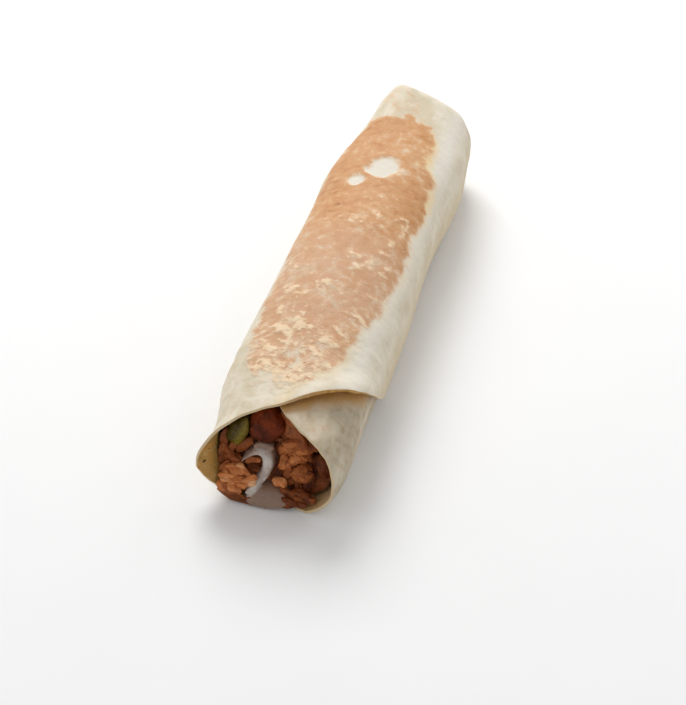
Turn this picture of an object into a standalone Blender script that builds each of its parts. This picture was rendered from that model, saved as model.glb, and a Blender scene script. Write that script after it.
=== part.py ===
"""Shawarma wrap: a round flatbread rolled about chicken, garlic sauce, tomato and pickle.

Metres, +Z up.  The roll lies along +Y: its open mouth is at Y = 0 before the part is centred,
its tucked tail at Y = LENGTH.  Angles about the roll are degrees seen from the mouth: 0 is the
right side (+X), 90 the top, 180 the left.  A winding angle goes on counting past 360 as the
sheet passes beneath its own outer turn.
"""
import math

import bmesh
import bpy
import numpy as np
from mathutils import Vector

# ---- driving sizes, all in millimetres or degrees -------------------------------------------
MM = 0.001
LENGTH = 212.0
CENTRE_X = -0.08              # middle of the finished roll, which becomes the part's origin
CENTRE_Y = LENGTH / 2.0 - 0.45
SHEET_RADIUS = 150.0          # half the width of the round flatbread before it is rolled
THICKNESS = 1.8               # flatbread
GAP = 0.35                    # left between neighbours and between the turns
PITCH = THICKNESS + GAP       # how far one full turn moves inwards
ROOM_GAP = 0.8                # filling to flatbread, which also takes up their unlike facets

WIND_START = -40.0            # free edge of the outer flap, low on the right
WIND_END = 544.0              # inner end of the sheet, on the left
OUTER_CENTRE = 226.0          # winding angle where the front edge starts to draw back, outer side
OUTER_RATE = 0.48             # mm of sheet per degree on that side
OUTER_REACH = 142.0           # widest stretch of sheet the edge's arc is followed over
INNER_CENTRE = 352.0          # the same for the inner side
INNER_RATE = 0.69
INNER_REACH = 132.0

HALF_WIDTH = 28.5
MOUTH_HEIGHT = 38.6
BODY_HEIGHT = 45.5
TAIL_HEIGHT = 43.7
RISE_FROM = -20.0             # the height grows from the mouth to here
RISE_TO = 95.0
FALL_FROM = 120.0             # and falls a little from here to the tail
CENTRE_SHARE = 0.48           # height of the section's centre as a share of its full height
BELLY = 4.6                   # how far the untouched section would hang below the table
PRESSED = 0.12                # bread this close to the table is pressed flat on it
ROUNDNESS = 2.25              # power of the section's oval, 2 is an ellipse
LIP_FLARE = 4.3               # left lip turned outwards at the mouth
LIP_DEPTH = 10.5
LIP_ANGLE = 186.0
LIP_SPREAD = 18.0
WAIST = 2.8                   # narrowing just behind the lip
WAIST_PLACE = 10.0
WAIST_DEPTH = 14.7
SHOULDER = 0.9                # slight swelling behind the waist, half as much on the right
SHOULDER_PLACE = 52.0
SHOULDER_DEPTH = 28.0
HOLLOW = 1.2                  # slight narrowing past the middle
HOLLOW_PLACE = 136.0
HOLLOW_DEPTH = 26.0
TAPER_START = 152.0           # the left side is folded in from here to the tail
TAPER_LEFT = 9.9
TAPER_RIGHT = 4.6
TAPER_RIGHT_START = 164.0
TAPER_RIGHT_END = LENGTH + 2.0
RIGHT_TUCK = 2.2              # right side drawn in at the very mouth
CORNER = 3.4                  # folded corner standing out on top of the tail
CORNER_ANGLE = 105.0
CORNER_SPREAD = 17.0
CORNER_START = LENGTH - 42.0
CORNER_FULL = LENGTH - 4.0
DENT = 0.35                   # height of the slow waves in the rolled bread
DENT_LENGTHS = (23.0, 17.0)   # mm down the roll for one radian of each wave
DENT_FROM = 5.0               # the waves set in behind the mouth
DENT_FULL = 30.0

TAIL_BEND = 7.2               # radius of the tail's turned-in corner
TAIL_TURN_IN = 6.0            # how far the tail edge is turned towards the centre
TAIL_DISH = 1.6               # hollow of the turned-in tail edge
CAP_OVERLAP = 2.4
CAP_FRONT = 7.6               # tail plug, measured back from the tail end
CAP_BACK = 1.3
CAP_CHAMFER = 1.2             # its rounded-off rims
CAP_CROWN = 0.3               # and how far its faces swell in the middle

SHEET_COLUMNS = 73            # eight degrees each, so that every turn lies square on the last
MEET = 95.0                   # from here on all columns share the same stations
FRONT_ROWS = 5
BODY_ROWS = 6
BEND_ROWS = 5
CORE_COLUMNS = 37
CORE_RINGS = 5
CORE_MIDDLE = (-1.0, 17.0)    # x and z that the filling's front face is built about
CORE_END = 13.0               # the filling stops this far before the tail, rounded off
CORE_ROUND = 3.6
CORE_TIP = 1.5
RIM_STATION = 8.0             # where the rim's place in the mouth is read
RIM_START = 4.0               # degrees past the sheet's inner end where the rim starts
RIM_SWEEP = 359.0             # and how far round it goes, just short of a full turn
LUMP = 1.1
LUMP_RATES = (0.55, 0.6, 1.1, 0.9)   # radians per mm of the lumps in the filling's face
EASE_FROM = 26.0              # the filling swells where the inner turn has not begun yet
EASE_TO = 9.0
ROOM_PROUD = 3.5              # the pieces beside the meat may stand this far out of its face

# the filling's front face: it leans back with height, with one recess and one heap,
# each given as centre x, centre z, depth and radius
FACE_AT_TABLE = 2.4
FACE_LEAN = 0.36
RECESS = (15.0, 21.0, 4.5, 9.9)
HEAP = (-14.0, 5.0, -2.6, 7.75)

ROD_SIDES = 16
ROD_ROWS = 8
ROD_NOSE = 0.8                # girth at the blunt front end as a share of the full girth
ROD_NOSE_SHARE = 9.0          # one over the share of the length that the nose takes
ROD_TAPER = 0.55              # how much the hidden end thins out
ROD_TAPER_FROM = 0.75
ROD_WAVE = 0.06               # uneven girth along the length
ROD_LOBES = ((3.0, 0.07), (5.0, 0.05))   # uneven girth round it: count and share
ROD_SWAY = 0.6
ROD_LEAN = 0.08               # backward lean of the front face
ROD_CROWN = 0.7               # how far the ends' middles stand out
# centre x, centre z, half width, half height, turn in degrees, length, stand-proud at the mouth
PICKLE = (-15.7, 24.3, 3.4, 6.4, -22.0, 150.0, 2.2)
TOMATO = (-5.0, 28.0, 6.6, 6.4, -12.0, 165.0, 2.4)
POOL = (-3.6, 5.2, 6.4, 2.6, -4.0, 170.0, 1.6)
# the sauce band is a hook: a round bend that runs out into two legs
HOOK_CENTRE = (-8.6, 14.6)
HOOK_RADIUS = 5.2
HOOK_FROM = 152.0
HOOK_TO = -62.0
HOOK_TALL = 1.08              # the bend is this much taller than wide
HOOK_LEG = 9.5
HOOK_LEG_STEPS = 3
HOOK_LEG_TURN = 78.0          # the long leg heads off at this angle to the bend's end
HOOK_LEG_FLAT = 0.9
HOOK_THICK = 3.9
HOOK_STEPS = 11
HOOK_LENGTH = 176.0
HOOK_PROUD = 1.3
HOOK_NOSE = 0.72              # thickness at the front face as a share of the full thickness
HOOK_THIN = 0.45              # how much the hidden end thins out
HOOK_THIN_FROM = 0.85
HOOK_WAVE = 0.12
HOOK_POINT = 0.45             # power of the thinning towards both ends of the hook


def smooth(low, high, value):
    """Smooth step from 0 at low to 1 at high."""
    share = np.clip((value - low) / (high - low), 0.0, 1.0)
    return share * share * (3.0 - 2.0 * share)


def bulge(value, rise, place, spread):
    """A smooth hump of the given rise about a place."""
    return rise * np.exp(-((value - place) / spread) ** 2)


def lip_share(y):
    """How much of the lip's shape is left at a station y, 1 at the mouth."""
    return np.clip(1.0 - y / LIP_DEPTH, 0.0, 1.0) ** 2


def half_widths(y):
    """Left and right half widths of the roll at a station y."""
    shoulder = bulge(y, SHOULDER, SHOULDER_PLACE, SHOULDER_DEPTH)
    hollow = bulge(y, HOLLOW, HOLLOW_PLACE, HOLLOW_DEPTH)
    left = HALF_WIDTH - bulge(y, WAIST, WAIST_PLACE, WAIST_DEPTH) + shoulder - hollow
    left = left - TAPER_LEFT * smooth(TAPER_START, LENGTH, y)
    right = HALF_WIDTH - RIGHT_TUCK * lip_share(y) + 0.5 * shoulder - hollow
    right = right - TAPER_RIGHT * smooth(TAPER_RIGHT_START, TAPER_RIGHT_END, y)
    return left, right


def height(y):
    """Full height of the roll at a station y."""
    rise = (BODY_HEIGHT - MOUTH_HEIGHT) * smooth(RISE_FROM, RISE_TO, y)
    return MOUTH_HEIGHT + rise - (BODY_HEIGHT - TAIL_HEIGHT) * smooth(FALL_FROM, LENGTH, y)


def hull(angle, along):
    """Point on the roll's outer hull; along runs down the roll and round the tucked tail."""
    turn = math.radians(angle)
    bend = max(0.0, along - (LENGTH - TAIL_BEND))
    sweep = min(bend / TAIL_BEND, math.pi / 2.0)
    inwards = max(0.0, bend - TAIL_BEND * math.pi / 2.0)
    y = min(along, LENGTH - TAIL_BEND) + TAIL_BEND * math.sin(sweep)
    left, right = half_widths(y)
    full = height(y)
    centre = full * CENTRE_SHARE
    cosine = math.cos(turn)
    sine = math.sin(turn)
    wide = right if cosine > 0.0 else left
    tall = full - centre if sine > 0.0 else centre + BELLY
    radius = (abs(cosine / wide) ** ROUNDNESS + abs(sine / tall) ** ROUNDNESS) ** (-1.0 / ROUNDNESS)
    around = angle % 360.0
    radius = radius + lip_share(y) * bulge(around, LIP_FLARE, LIP_ANGLE, LIP_SPREAD)
    corner = smooth(CORNER_START, CORNER_FULL, y)
    radius = radius + corner * bulge(around, CORNER, CORNER_ANGLE, CORNER_SPREAD)
    dent = math.sin(2.0 * turn + y / DENT_LENGTHS[0])
    dent = dent + math.sin(3.0 * turn - y / DENT_LENGTHS[1] + 1.0)
    radius = radius + DENT * dent * float(smooth(DENT_FROM, DENT_FULL, y))
    radius = radius - TAIL_BEND * (1.0 - math.cos(sweep)) - inwards
    dish = TAIL_DISH * (inwards / TAIL_TURN_IN) ** 2
    return Vector((radius * cosine, y - dish, centre + radius * sine))


def under_hull(angle, along, depth):
    """Point at a depth below the hull, measured square to it."""
    step = 0.4
    across = hull(angle + step, along) - hull(angle - step, along)
    down = hull(angle, along + step) - hull(angle, along - step)
    inward = across.cross(down).normalized()
    return hull(angle, along) + inward * depth


def turn_depth(winding):
    """Depth of the middle of the sheet below the hull at a winding angle."""
    return PITCH * (winding - WIND_START) / 360.0 + THICKNESS / 2.0


def front_edge(winding):
    """How far the curved front edge of the round sheet is drawn back from the mouth."""
    outer = min(max(OUTER_RATE * (OUTER_CENTRE - winding), 0.0), OUTER_REACH)
    inner = min(max(INNER_RATE * (winding - INNER_CENTRE), 0.0), INNER_REACH)
    across = max(outer, inner)
    return SHEET_RADIUS - math.sqrt(SHEET_RADIUS ** 2 - across ** 2)


def station(row, front):
    """Distance down the roll of a row of the sheet; from MEET on it is the same for all."""
    straight = LENGTH - TAIL_BEND
    if row <= FRONT_ROWS:
        share = row / FRONT_ROWS
        return front + (MEET - front) * share * (0.5 + 0.5 * share)
    if row <= FRONT_ROWS + BODY_ROWS:
        return MEET + (straight - MEET) * (row - FRONT_ROWS) / BODY_ROWS
    bend = TAIL_BEND * math.pi / 2.0 + TAIL_TURN_IN
    return straight + bend * (row - FRONT_ROWS - BODY_ROWS) / BEND_ROWS


def filling_front(x, z):
    """Station of the filling's uneven front face at a place in the mouth."""
    front = FACE_AT_TABLE + FACE_LEAN * z
    for centre_x, centre_z, depth, radius in (RECESS, HEAP):
        away = ((x - centre_x) ** 2 + (z - centre_z) ** 2) / radius ** 2
        front = front + depth * math.exp(-away)
    return front


def in_part(point):
    """Millimetres about the mouth to metres about the part's own origin."""
    return Vector((point.x - CENTRE_X, point.y - CENTRE_Y, point.z)) * MM


def add_object(name, mesh_edit, home):
    """Turns an edited mesh into an object of the given collection."""
    bmesh.ops.recalc_face_normals(mesh_edit, faces=mesh_edit.faces[:])
    mesh = bpy.data.meshes.new(name)
    mesh_edit.to_mesh(mesh)
    mesh_edit.free()
    made = bpy.data.objects.new(name, mesh)
    home.objects.link(made)
    return made


def apply_modifiers(made):
    """Freezes an object's modifiers into its mesh."""
    bpy.context.view_layer.update()
    graph = bpy.context.evaluated_depsgraph_get()
    graph.update()
    mesh = bpy.data.meshes.new_from_object(made.evaluated_get(graph))
    made.modifiers.clear()
    made.data = mesh


def join_solid(target, tool, operation):
    """Boolean of one solid with another."""
    cut = target.modifiers.new(operation.lower(), "BOOLEAN")
    cut.operation = operation
    cut.solver = "EXACT"
    cut.object = tool
    apply_modifiers(target)


def loft(rings, closed_front, closed_back):
    """Skin over rings of equal count, each end closed by a fan to its middle point."""
    mesh_edit = bmesh.new()
    rows = [[mesh_edit.verts.new(in_part(point)) for point in ring] for ring in rings]
    count = len(rows[0])
    for first, second in zip(rows[:-1], rows[1:]):
        for index in range(count):
            after = (index + 1) % count
            mesh_edit.faces.new((first[index], first[after], second[after], second[index]))
    for row, middle in ((rows[0], closed_front), (rows[-1], closed_back)):
        tip = mesh_edit.verts.new(in_part(middle))
        for index in range(count):
            mesh_edit.faces.new((row[index], row[(index + 1) % count], tip))
    return mesh_edit


def rolled_sheet(home):
    """The flatbread: a flat grid wound into about a turn and a half, then given its thickness."""
    rows = FRONT_ROWS + BODY_ROWS + BEND_ROWS
    mesh_edit = bmesh.new()
    bmesh.ops.create_grid(mesh_edit, x_segments=SHEET_COLUMNS, y_segments=rows, size=0.5)
    for vert in mesh_edit.verts:
        winding = WIND_START + (WIND_END - WIND_START) * (vert.co.x + 0.5)
        along = station(round((vert.co.y + 0.5) * rows), front_edge(winding))
        place = under_hull(winding, along, turn_depth(winding))
        place.z = max(place.z, THICKNESS / 2.0)
        vert.co = in_part(place)
    sheet = add_object("flatbread", mesh_edit, home)
    wall = sheet.modifiers.new("thickness", "SOLIDIFY")
    wall.thickness = THICKNESS * MM
    wall.offset = 0.0
    wall.use_even_offset = False
    apply_modifiers(sheet)
    for vert in sheet.data.vertices:
        if vert.co.z < PRESSED * MM:
            vert.co.z = 0.0
    return sheet


def tail_plug(home):
    """The folded-in end of the sheet that closes the roll's tail."""
    profile = ((CAP_FRONT, CAP_CHAMFER), (CAP_FRONT - CAP_CHAMFER, 0.0),
               (CAP_BACK + CAP_CHAMFER, 0.0), (CAP_BACK, CAP_CHAMFER))
    rings = []
    for back, shrink in profile:
        ring = []
        for index in range(CORE_COLUMNS):
            angle = 360.0 * index / CORE_COLUMNS
            edge = hull(angle, LENGTH - TAIL_BEND)
            centre = Vector((0.0, edge.y, height(LENGTH) * CENTRE_SHARE))
            reach = (edge - centre).length
            reach = reach - TAIL_BEND - TAIL_TURN_IN + CAP_OVERLAP - shrink
            place = centre + (edge - centre).normalized() * reach
            place.y = LENGTH - back
            ring.append(place)
        rings.append(ring)
    centre_height = height(LENGTH) * CENTRE_SHARE
    front = Vector((0.0, LENGTH - CAP_FRONT - CAP_CROWN, centre_height))
    back = Vector((0.0, LENGTH - CAP_BACK - CAP_CHAMFER + CAP_CROWN, centre_height))
    return add_object("tail_plug", loft(rings, front, back), home)


def core_ring(row, proud):
    """Ring of the room inside the roll at a row of the sheet, row 0 being the filling's front."""
    ring = []
    first = WIND_END - 360.0 + RIM_START
    for index in range(CORE_COLUMNS):
        winding = first + RIM_SWEEP * index / (CORE_COLUMNS - 1)
        depth = turn_depth(min(winding, WIND_END)) + THICKNESS / 2.0 + ROOM_GAP
        near = under_hull(winding, RIM_STATION, depth)
        along = station(row, filling_front(near.x, near.z) - proud)
        reach = front_edge(min(winding, WIND_END))
        free = 1.0 - float(smooth(reach - EASE_FROM, reach - EASE_TO, along))
        place = under_hull(winding, along, depth - PITCH * free)
        place.z = max(place.z, THICKNESS + ROOM_GAP)
        ring.append(place)
    return ring


def filling_room(name, proud, home):
    """All the room the filling takes, its uneven front face brought forward by proud."""
    rim = core_ring(0, proud)
    middle_x, middle_z = CORE_MIDDLE
    rings = []
    for step in range(CORE_RINGS - 1, 0, -1):
        keep = 1.0 - step / CORE_RINGS
        ring = []
        for place in rim:
            x = middle_x + (place.x - middle_x) * keep
            z = middle_z + (place.z - middle_z) * keep
            lump = math.sin(LUMP_RATES[0] * x) * math.sin(LUMP_RATES[1] * z)
            lump = lump + 0.6 * math.sin(LUMP_RATES[2] * x - LUMP_RATES[3] * z)
            ring.append(Vector((x, filling_front(x, z) + LUMP * lump - proud, z)))
        rings.append(ring)
    for row in range(FRONT_ROWS + BODY_ROWS):
        rings.append(core_ring(row, proud))
    back = Vector((0.0, LENGTH - CORE_END, height(LENGTH) * CENTRE_SHARE))
    rings.append([place + (back - place).normalized() * CORE_ROUND for place in rings[-1]])
    for place in rings[-1]:
        place.y = LENGTH - CORE_END - CORE_TIP
    front = Vector((middle_x, filling_front(middle_x, middle_z) - proud, middle_z))
    return add_object(name, loft(rings, front, back), home)


def rod(name, sizes, grow, home):
    """A long piece laid down the roll, oval in section, uneven and rounded at its ends."""
    x, z, wide, tall, turn, length, proud = sizes
    start = filling_front(x, z) - proud
    tilt = math.radians(turn)
    rings = []
    for row in range(ROD_ROWS + 1):
        share = row / ROD_ROWS
        swell = ROD_NOSE + (1.0 - ROD_NOSE) * math.sqrt(min(share * ROD_NOSE_SHARE, 1.0))
        swell = swell * (1.0 - ROD_TAPER * smooth(ROD_TAPER_FROM, 1.0, share))
        swell = swell * (1.0 + ROD_WAVE * math.sin(9.0 * share + x))
        sway = ROD_SWAY * math.sin(6.0 * share + z)
        ring = []
        for side in range(ROD_SIDES):
            angle = 2.0 * math.pi * side / ROD_SIDES
            uneven = 1.0 + sum(part * math.sin(count * angle + x) for count, part in ROD_LOBES)
            across = (wide * swell * uneven + grow) * math.cos(angle)
            upward = (tall * swell * uneven + grow) * math.sin(angle)
            ring.append(Vector((
                x + across * math.cos(tilt) - upward * math.sin(tilt) + sway,
                start - grow + (length + 2.0 * grow) * share + ROD_LEAN * upward,
                z + across * math.sin(tilt) + upward * math.cos(tilt))))
        rings.append(ring)
    front = Vector((x + ROD_SWAY * math.sin(z), start - grow - ROD_CROWN, z))
    back = Vector((x + ROD_SWAY * math.sin(6.0 + z), start + length + grow + ROD_CROWN, z))
    return add_object(name, loft(rings, front, back), home)


def hook_path():
    """Middle line of the sauce band across the mouth, from its short leg to its long one."""
    path = []
    cx, cz = HOOK_CENTRE
    for step in range(HOOK_STEPS + 1):
        angle = math.radians(HOOK_FROM + (HOOK_TO - HOOK_FROM) * step / HOOK_STEPS)
        path.append((cx + HOOK_RADIUS * math.cos(angle), cz + HOOK_RADIUS * HOOK_TALL * math.sin(angle)))
    last = path[-1]
    heading = math.radians(HOOK_TO - HOOK_LEG_TURN)
    for step in range(1, HOOK_LEG_STEPS + 1):
        reach = HOOK_LEG * step / HOOK_LEG_STEPS
        path.append((last[0] + reach * math.cos(heading),
                     last[1] + reach * math.sin(heading) * HOOK_LEG_FLAT))
    return path


def sauce_band(name, grow, home):
    """Garlic sauce: a band bent to a hook that runs down the roll beside the meat."""
    path = hook_path()
    count = len(path)
    rings = []
    for row in range(ROD_ROWS + 1):
        share = row / ROD_ROWS
        ends = HOOK_NOSE if row == 0 else 1.0 - HOOK_THIN * smooth(HOOK_THIN_FROM, 1.0, share)
        left = []
        right = []
        for index, (x, z) in enumerate(path):
            ahead = path[min(index + 1, count - 1)]
            behind = path[max(index - 1, 0)]
            run = Vector((ahead[0] - behind[0], 0.0, ahead[1] - behind[1])).normalized()
            side = Vector((-run.z, 0.0, run.x))
            fill = math.sin(math.pi * (index + 1.0) / (count + 1.0)) ** HOOK_POINT
            wave = 1.0 + HOOK_WAVE * math.sin(index * 0.9 + 3.0 * share)
            half = HOOK_THICK / 2.0 * fill * ends * wave + grow
            start = filling_front(x, z) - HOOK_PROUD * fill - grow
            y = start + (HOOK_LENGTH + 2.0 * grow) * share
            if index == 0:
                x = x - run.x * grow
                z = z - run.z * grow
            if index == count - 1:
                x = x + run.x * grow
                z = z + run.z * grow
            left.append(Vector((x, y, z)) + side * half)
            right.append(Vector((x, y, z)) - side * half)
        rings.append(left + right[::-1])
    mesh_edit = bmesh.new()
    rows = [[mesh_edit.verts.new(in_part(point)) for point in ring] for ring in rings]
    size = len(rows[0])
    for first, second in zip(rows[:-1], rows[1:]):
        for index in range(size):
            after = (index + 1) % size
            mesh_edit.faces.new((first[index], first[after], second[after], second[index]))
    for row in (rows[0], rows[-1]):
        for index in range(count - 1):
            mesh_edit.faces.new((row[index], row[index + 1], row[size - 2 - index], row[size - 1 - index]))
    return add_object(name, mesh_edit, home)


def finish(made, colour, roughness):
    """Gives an object its own plain material."""
    material = bpy.data.materials.new(made.name)
    material.use_nodes = True
    shader = material.node_tree.nodes["Principled BSDF"]
    shader.inputs["Base Color"].default_value = (*colour, 1.0)
    shader.inputs["Roughness"].default_value = roughness
    shader.inputs["Metallic"].default_value = 0.0
    made.data.materials.clear()
    made.data.materials.append(material)


def main():
    """Builds the wrap."""
    for old in list(bpy.data.objects):
        bpy.data.objects.remove(old, do_unlink=True)
    parts = bpy.data.collections.new("shawarma_wrap")
    cutters = bpy.data.collections.new("cutters")
    for home in (parts, cutters):
        bpy.context.scene.collection.children.link(home)

    bread = rolled_sheet(parts)
    join_solid(bread, tail_plug(cutters), "UNION")

    chicken = filling_room("chicken", 0.0, parts)
    room = filling_room("room_cutter", ROOM_PROUD, cutters)
    pickle = rod("pickle", PICKLE, 0.0, parts)
    tomato = rod("tomato", TOMATO, 0.0, parts)
    sauce = sauce_band("garlic_sauce", 0.0, parts)
    join_solid(sauce, rod("pool", POOL, 0.0, cutters), "UNION")
    pickle_cutter = rod("pickle_cutter", PICKLE, GAP, cutters)
    tomato_cutter = rod("tomato_cutter", TOMATO, GAP, cutters)
    sauce_cutter = sauce_band("sauce_cutter", GAP, cutters)
    pool_cutter = rod("pool_cutter", POOL, GAP, cutters)
    for piece, tools in ((chicken, (pickle_cutter, tomato_cutter, sauce_cutter, pool_cutter)),
                         (sauce, (pickle_cutter, tomato_cutter)),
                         (tomato, (pickle_cutter,))):
        for tool in tools:
            join_solid(piece, tool, "DIFFERENCE")
    for piece in (sauce, tomato, pickle):
        join_solid(piece, room, "INTERSECT")

    finish(bread, (0.78, 0.68, 0.53), 0.72)
    finish(chicken, (0.38, 0.15, 0.06), 0.5)
    finish(pickle, (0.22, 0.21, 0.04), 0.35)
    finish(tomato, (0.27, 0.05, 0.02), 0.3)
    finish(sauce, (0.62, 0.58, 0.52), 0.35)
    for tool in cutters.objects:
        tool.hide_render = True
        tool.display_type = "WIRE"


main()
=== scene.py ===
"""Looks of a shawarma wrap: the rolled flatbread, its filling and a plain studio round it.

Lengths inside this script are millimetres about the roll's mouth (y = 0 at the mouth, +y towards
the tail, +z up).  Angles are degrees round the roll, seen from the mouth: 0 is the right side,
90 the top, 180 the left.  A winding angle goes on counting past 360 as the sheet passes beneath
its own outer turn.  Meshes are brought to metres in the part's own frame when they are placed.
"""

import logging
import math
import random
from dataclasses import dataclass
from enum import Enum
from typing import Any, Callable

import bpy
import numpy as np
from mathutils import Matrix, Vector


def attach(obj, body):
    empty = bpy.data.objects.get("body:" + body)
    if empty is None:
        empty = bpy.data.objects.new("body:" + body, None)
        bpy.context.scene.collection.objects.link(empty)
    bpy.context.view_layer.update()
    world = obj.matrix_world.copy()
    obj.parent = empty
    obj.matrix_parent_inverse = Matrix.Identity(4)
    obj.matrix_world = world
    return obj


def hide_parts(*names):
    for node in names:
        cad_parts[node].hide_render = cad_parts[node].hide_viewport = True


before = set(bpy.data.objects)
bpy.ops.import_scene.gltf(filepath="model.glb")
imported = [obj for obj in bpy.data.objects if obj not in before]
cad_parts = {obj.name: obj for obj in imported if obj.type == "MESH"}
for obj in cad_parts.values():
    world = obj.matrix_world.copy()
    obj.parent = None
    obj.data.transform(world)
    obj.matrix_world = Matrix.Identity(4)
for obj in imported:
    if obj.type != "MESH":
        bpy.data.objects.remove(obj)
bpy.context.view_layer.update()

log = logging.getLogger("shawarma_wrap")

MM = 0.001
MERGE_REACH = 0.000002  # metres within which a skin's points are one
BODY = "root"
CENTRE = np.array((-0.08, 105.55, 0.0))  # the part's origin, in millimetres about the mouth

MIDDLE_X = -1.0  # middle of the filling, seen from the mouth
MIDDLE_Z = 17.0

Array = np.ndarray
Pair = tuple[float, float]
Triple = tuple[float, float, float]
Quad = tuple[float, float, float, float]
Colour = Triple
Piece = bpy.types.Object
Material = bpy.types.Material
Socket = bpy.types.NodeSocket


def portion(value: Array, start: float, stop: float) -> Array:
    """Share of the way from start to stop, held between 0 and 1."""
    return np.clip((value - start) / (stop - start), 0.0, 1.0)


def smooth(low: float, high: float, value: Array) -> Array:
    """Smooth step from 0 at low to 1 at high.

    Args:
        low: value where the step starts.
        high: value where it ends.
        value: numbers to map.
    Returns:
        The eased share of the way from low to high.
    """
    share = portion(value, low, high)
    return share * share * (3.0 - 2.0 * share)


def bulge(value: Array, rise: float, place: float, spread: float) -> Array:
    """A smooth hump.

    Args:
        value: numbers to map.
        rise: height of the hump.
        place: where it stands.
        spread: how wide it is.
    Returns:
        The hump's height at each value.
    """
    return rise * np.exp(-((value - place) / spread) ** 2)


def lattice(cells: Array, seed: int) -> Array:
    """Repeatable random number for each corner of a lattice.

    Args:
        cells: whole-numbered corners, three to a row.
        seed: picks one of many lattices.
    Returns:
        Numbers from 0 to 1.
    """
    mixed = (cells[..., 0] * 73856093) ^ (cells[..., 1] * 19349663) ^ (cells[..., 2] * 83492791)
    mixed = (mixed ^ (seed * 668265263)) & 0xFFFFFFFF
    mixed = ((mixed ^ (mixed >> 15)) * 2246822519) & 0xFFFFFFFF
    mixed = ((mixed ^ (mixed >> 13)) * 3266489917) & 0xFFFFFFFF
    return ((mixed ^ (mixed >> 16)) & 0xFFFFFF) / 16777215.0


def grain(points: Array, cell: float | Triple, seed: int) -> Array:
    """Smooth noise with bumps about one cell across.

    Args:
        points: places, three numbers to a row.
        cell: size of a bump, one for all directions or one for each.
        seed: picks the pattern.
    Returns:
        Numbers from -1 to 1.
    """
    scaled = points / np.asarray(cell)
    base = np.floor(scaled).astype(np.int64)
    part = scaled - base
    ease = part * part * (3.0 - 2.0 * part)
    total = np.zeros(points.shape[:-1])
    for corner in range(8):
        offset = np.array([(corner >> axis) & 1 for axis in range(3)])
        weight = np.prod(np.where(offset == 1, ease, 1.0 - ease), axis=-1)
        total = total + weight * lattice(base + offset, seed)
    return 2.0 * total - 1.0


def layered(points: Array, cell: float | Triple, seed: int, layers: int = 3) -> Array:
    """Noise in layers, each half the size and half the strength of the one before.

    Args:
        points: places, three numbers to a row.
        cell: size of the largest bumps.
        seed: picks the pattern.
        layers: how many layers there are.
    Returns:
        Numbers from about -1 to 1.
    """
    total = np.zeros(points.shape[:-1])
    size = np.asarray(cell, float)
    for layer in range(layers):
        total = total + grain(points, size * 0.5 ** layer, seed + layer) * 0.5 ** layer
    return total / (2.0 - 0.5 ** (layers - 1))


def stack(x: Array, y: Array, z: Array) -> Array:
    """Rows of three numbers from three arrays or numbers of matching shape."""
    return np.stack(np.broadcast_arrays(x, y, z), axis=-1).astype(float)


# ---- the roll's shape ----

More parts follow.
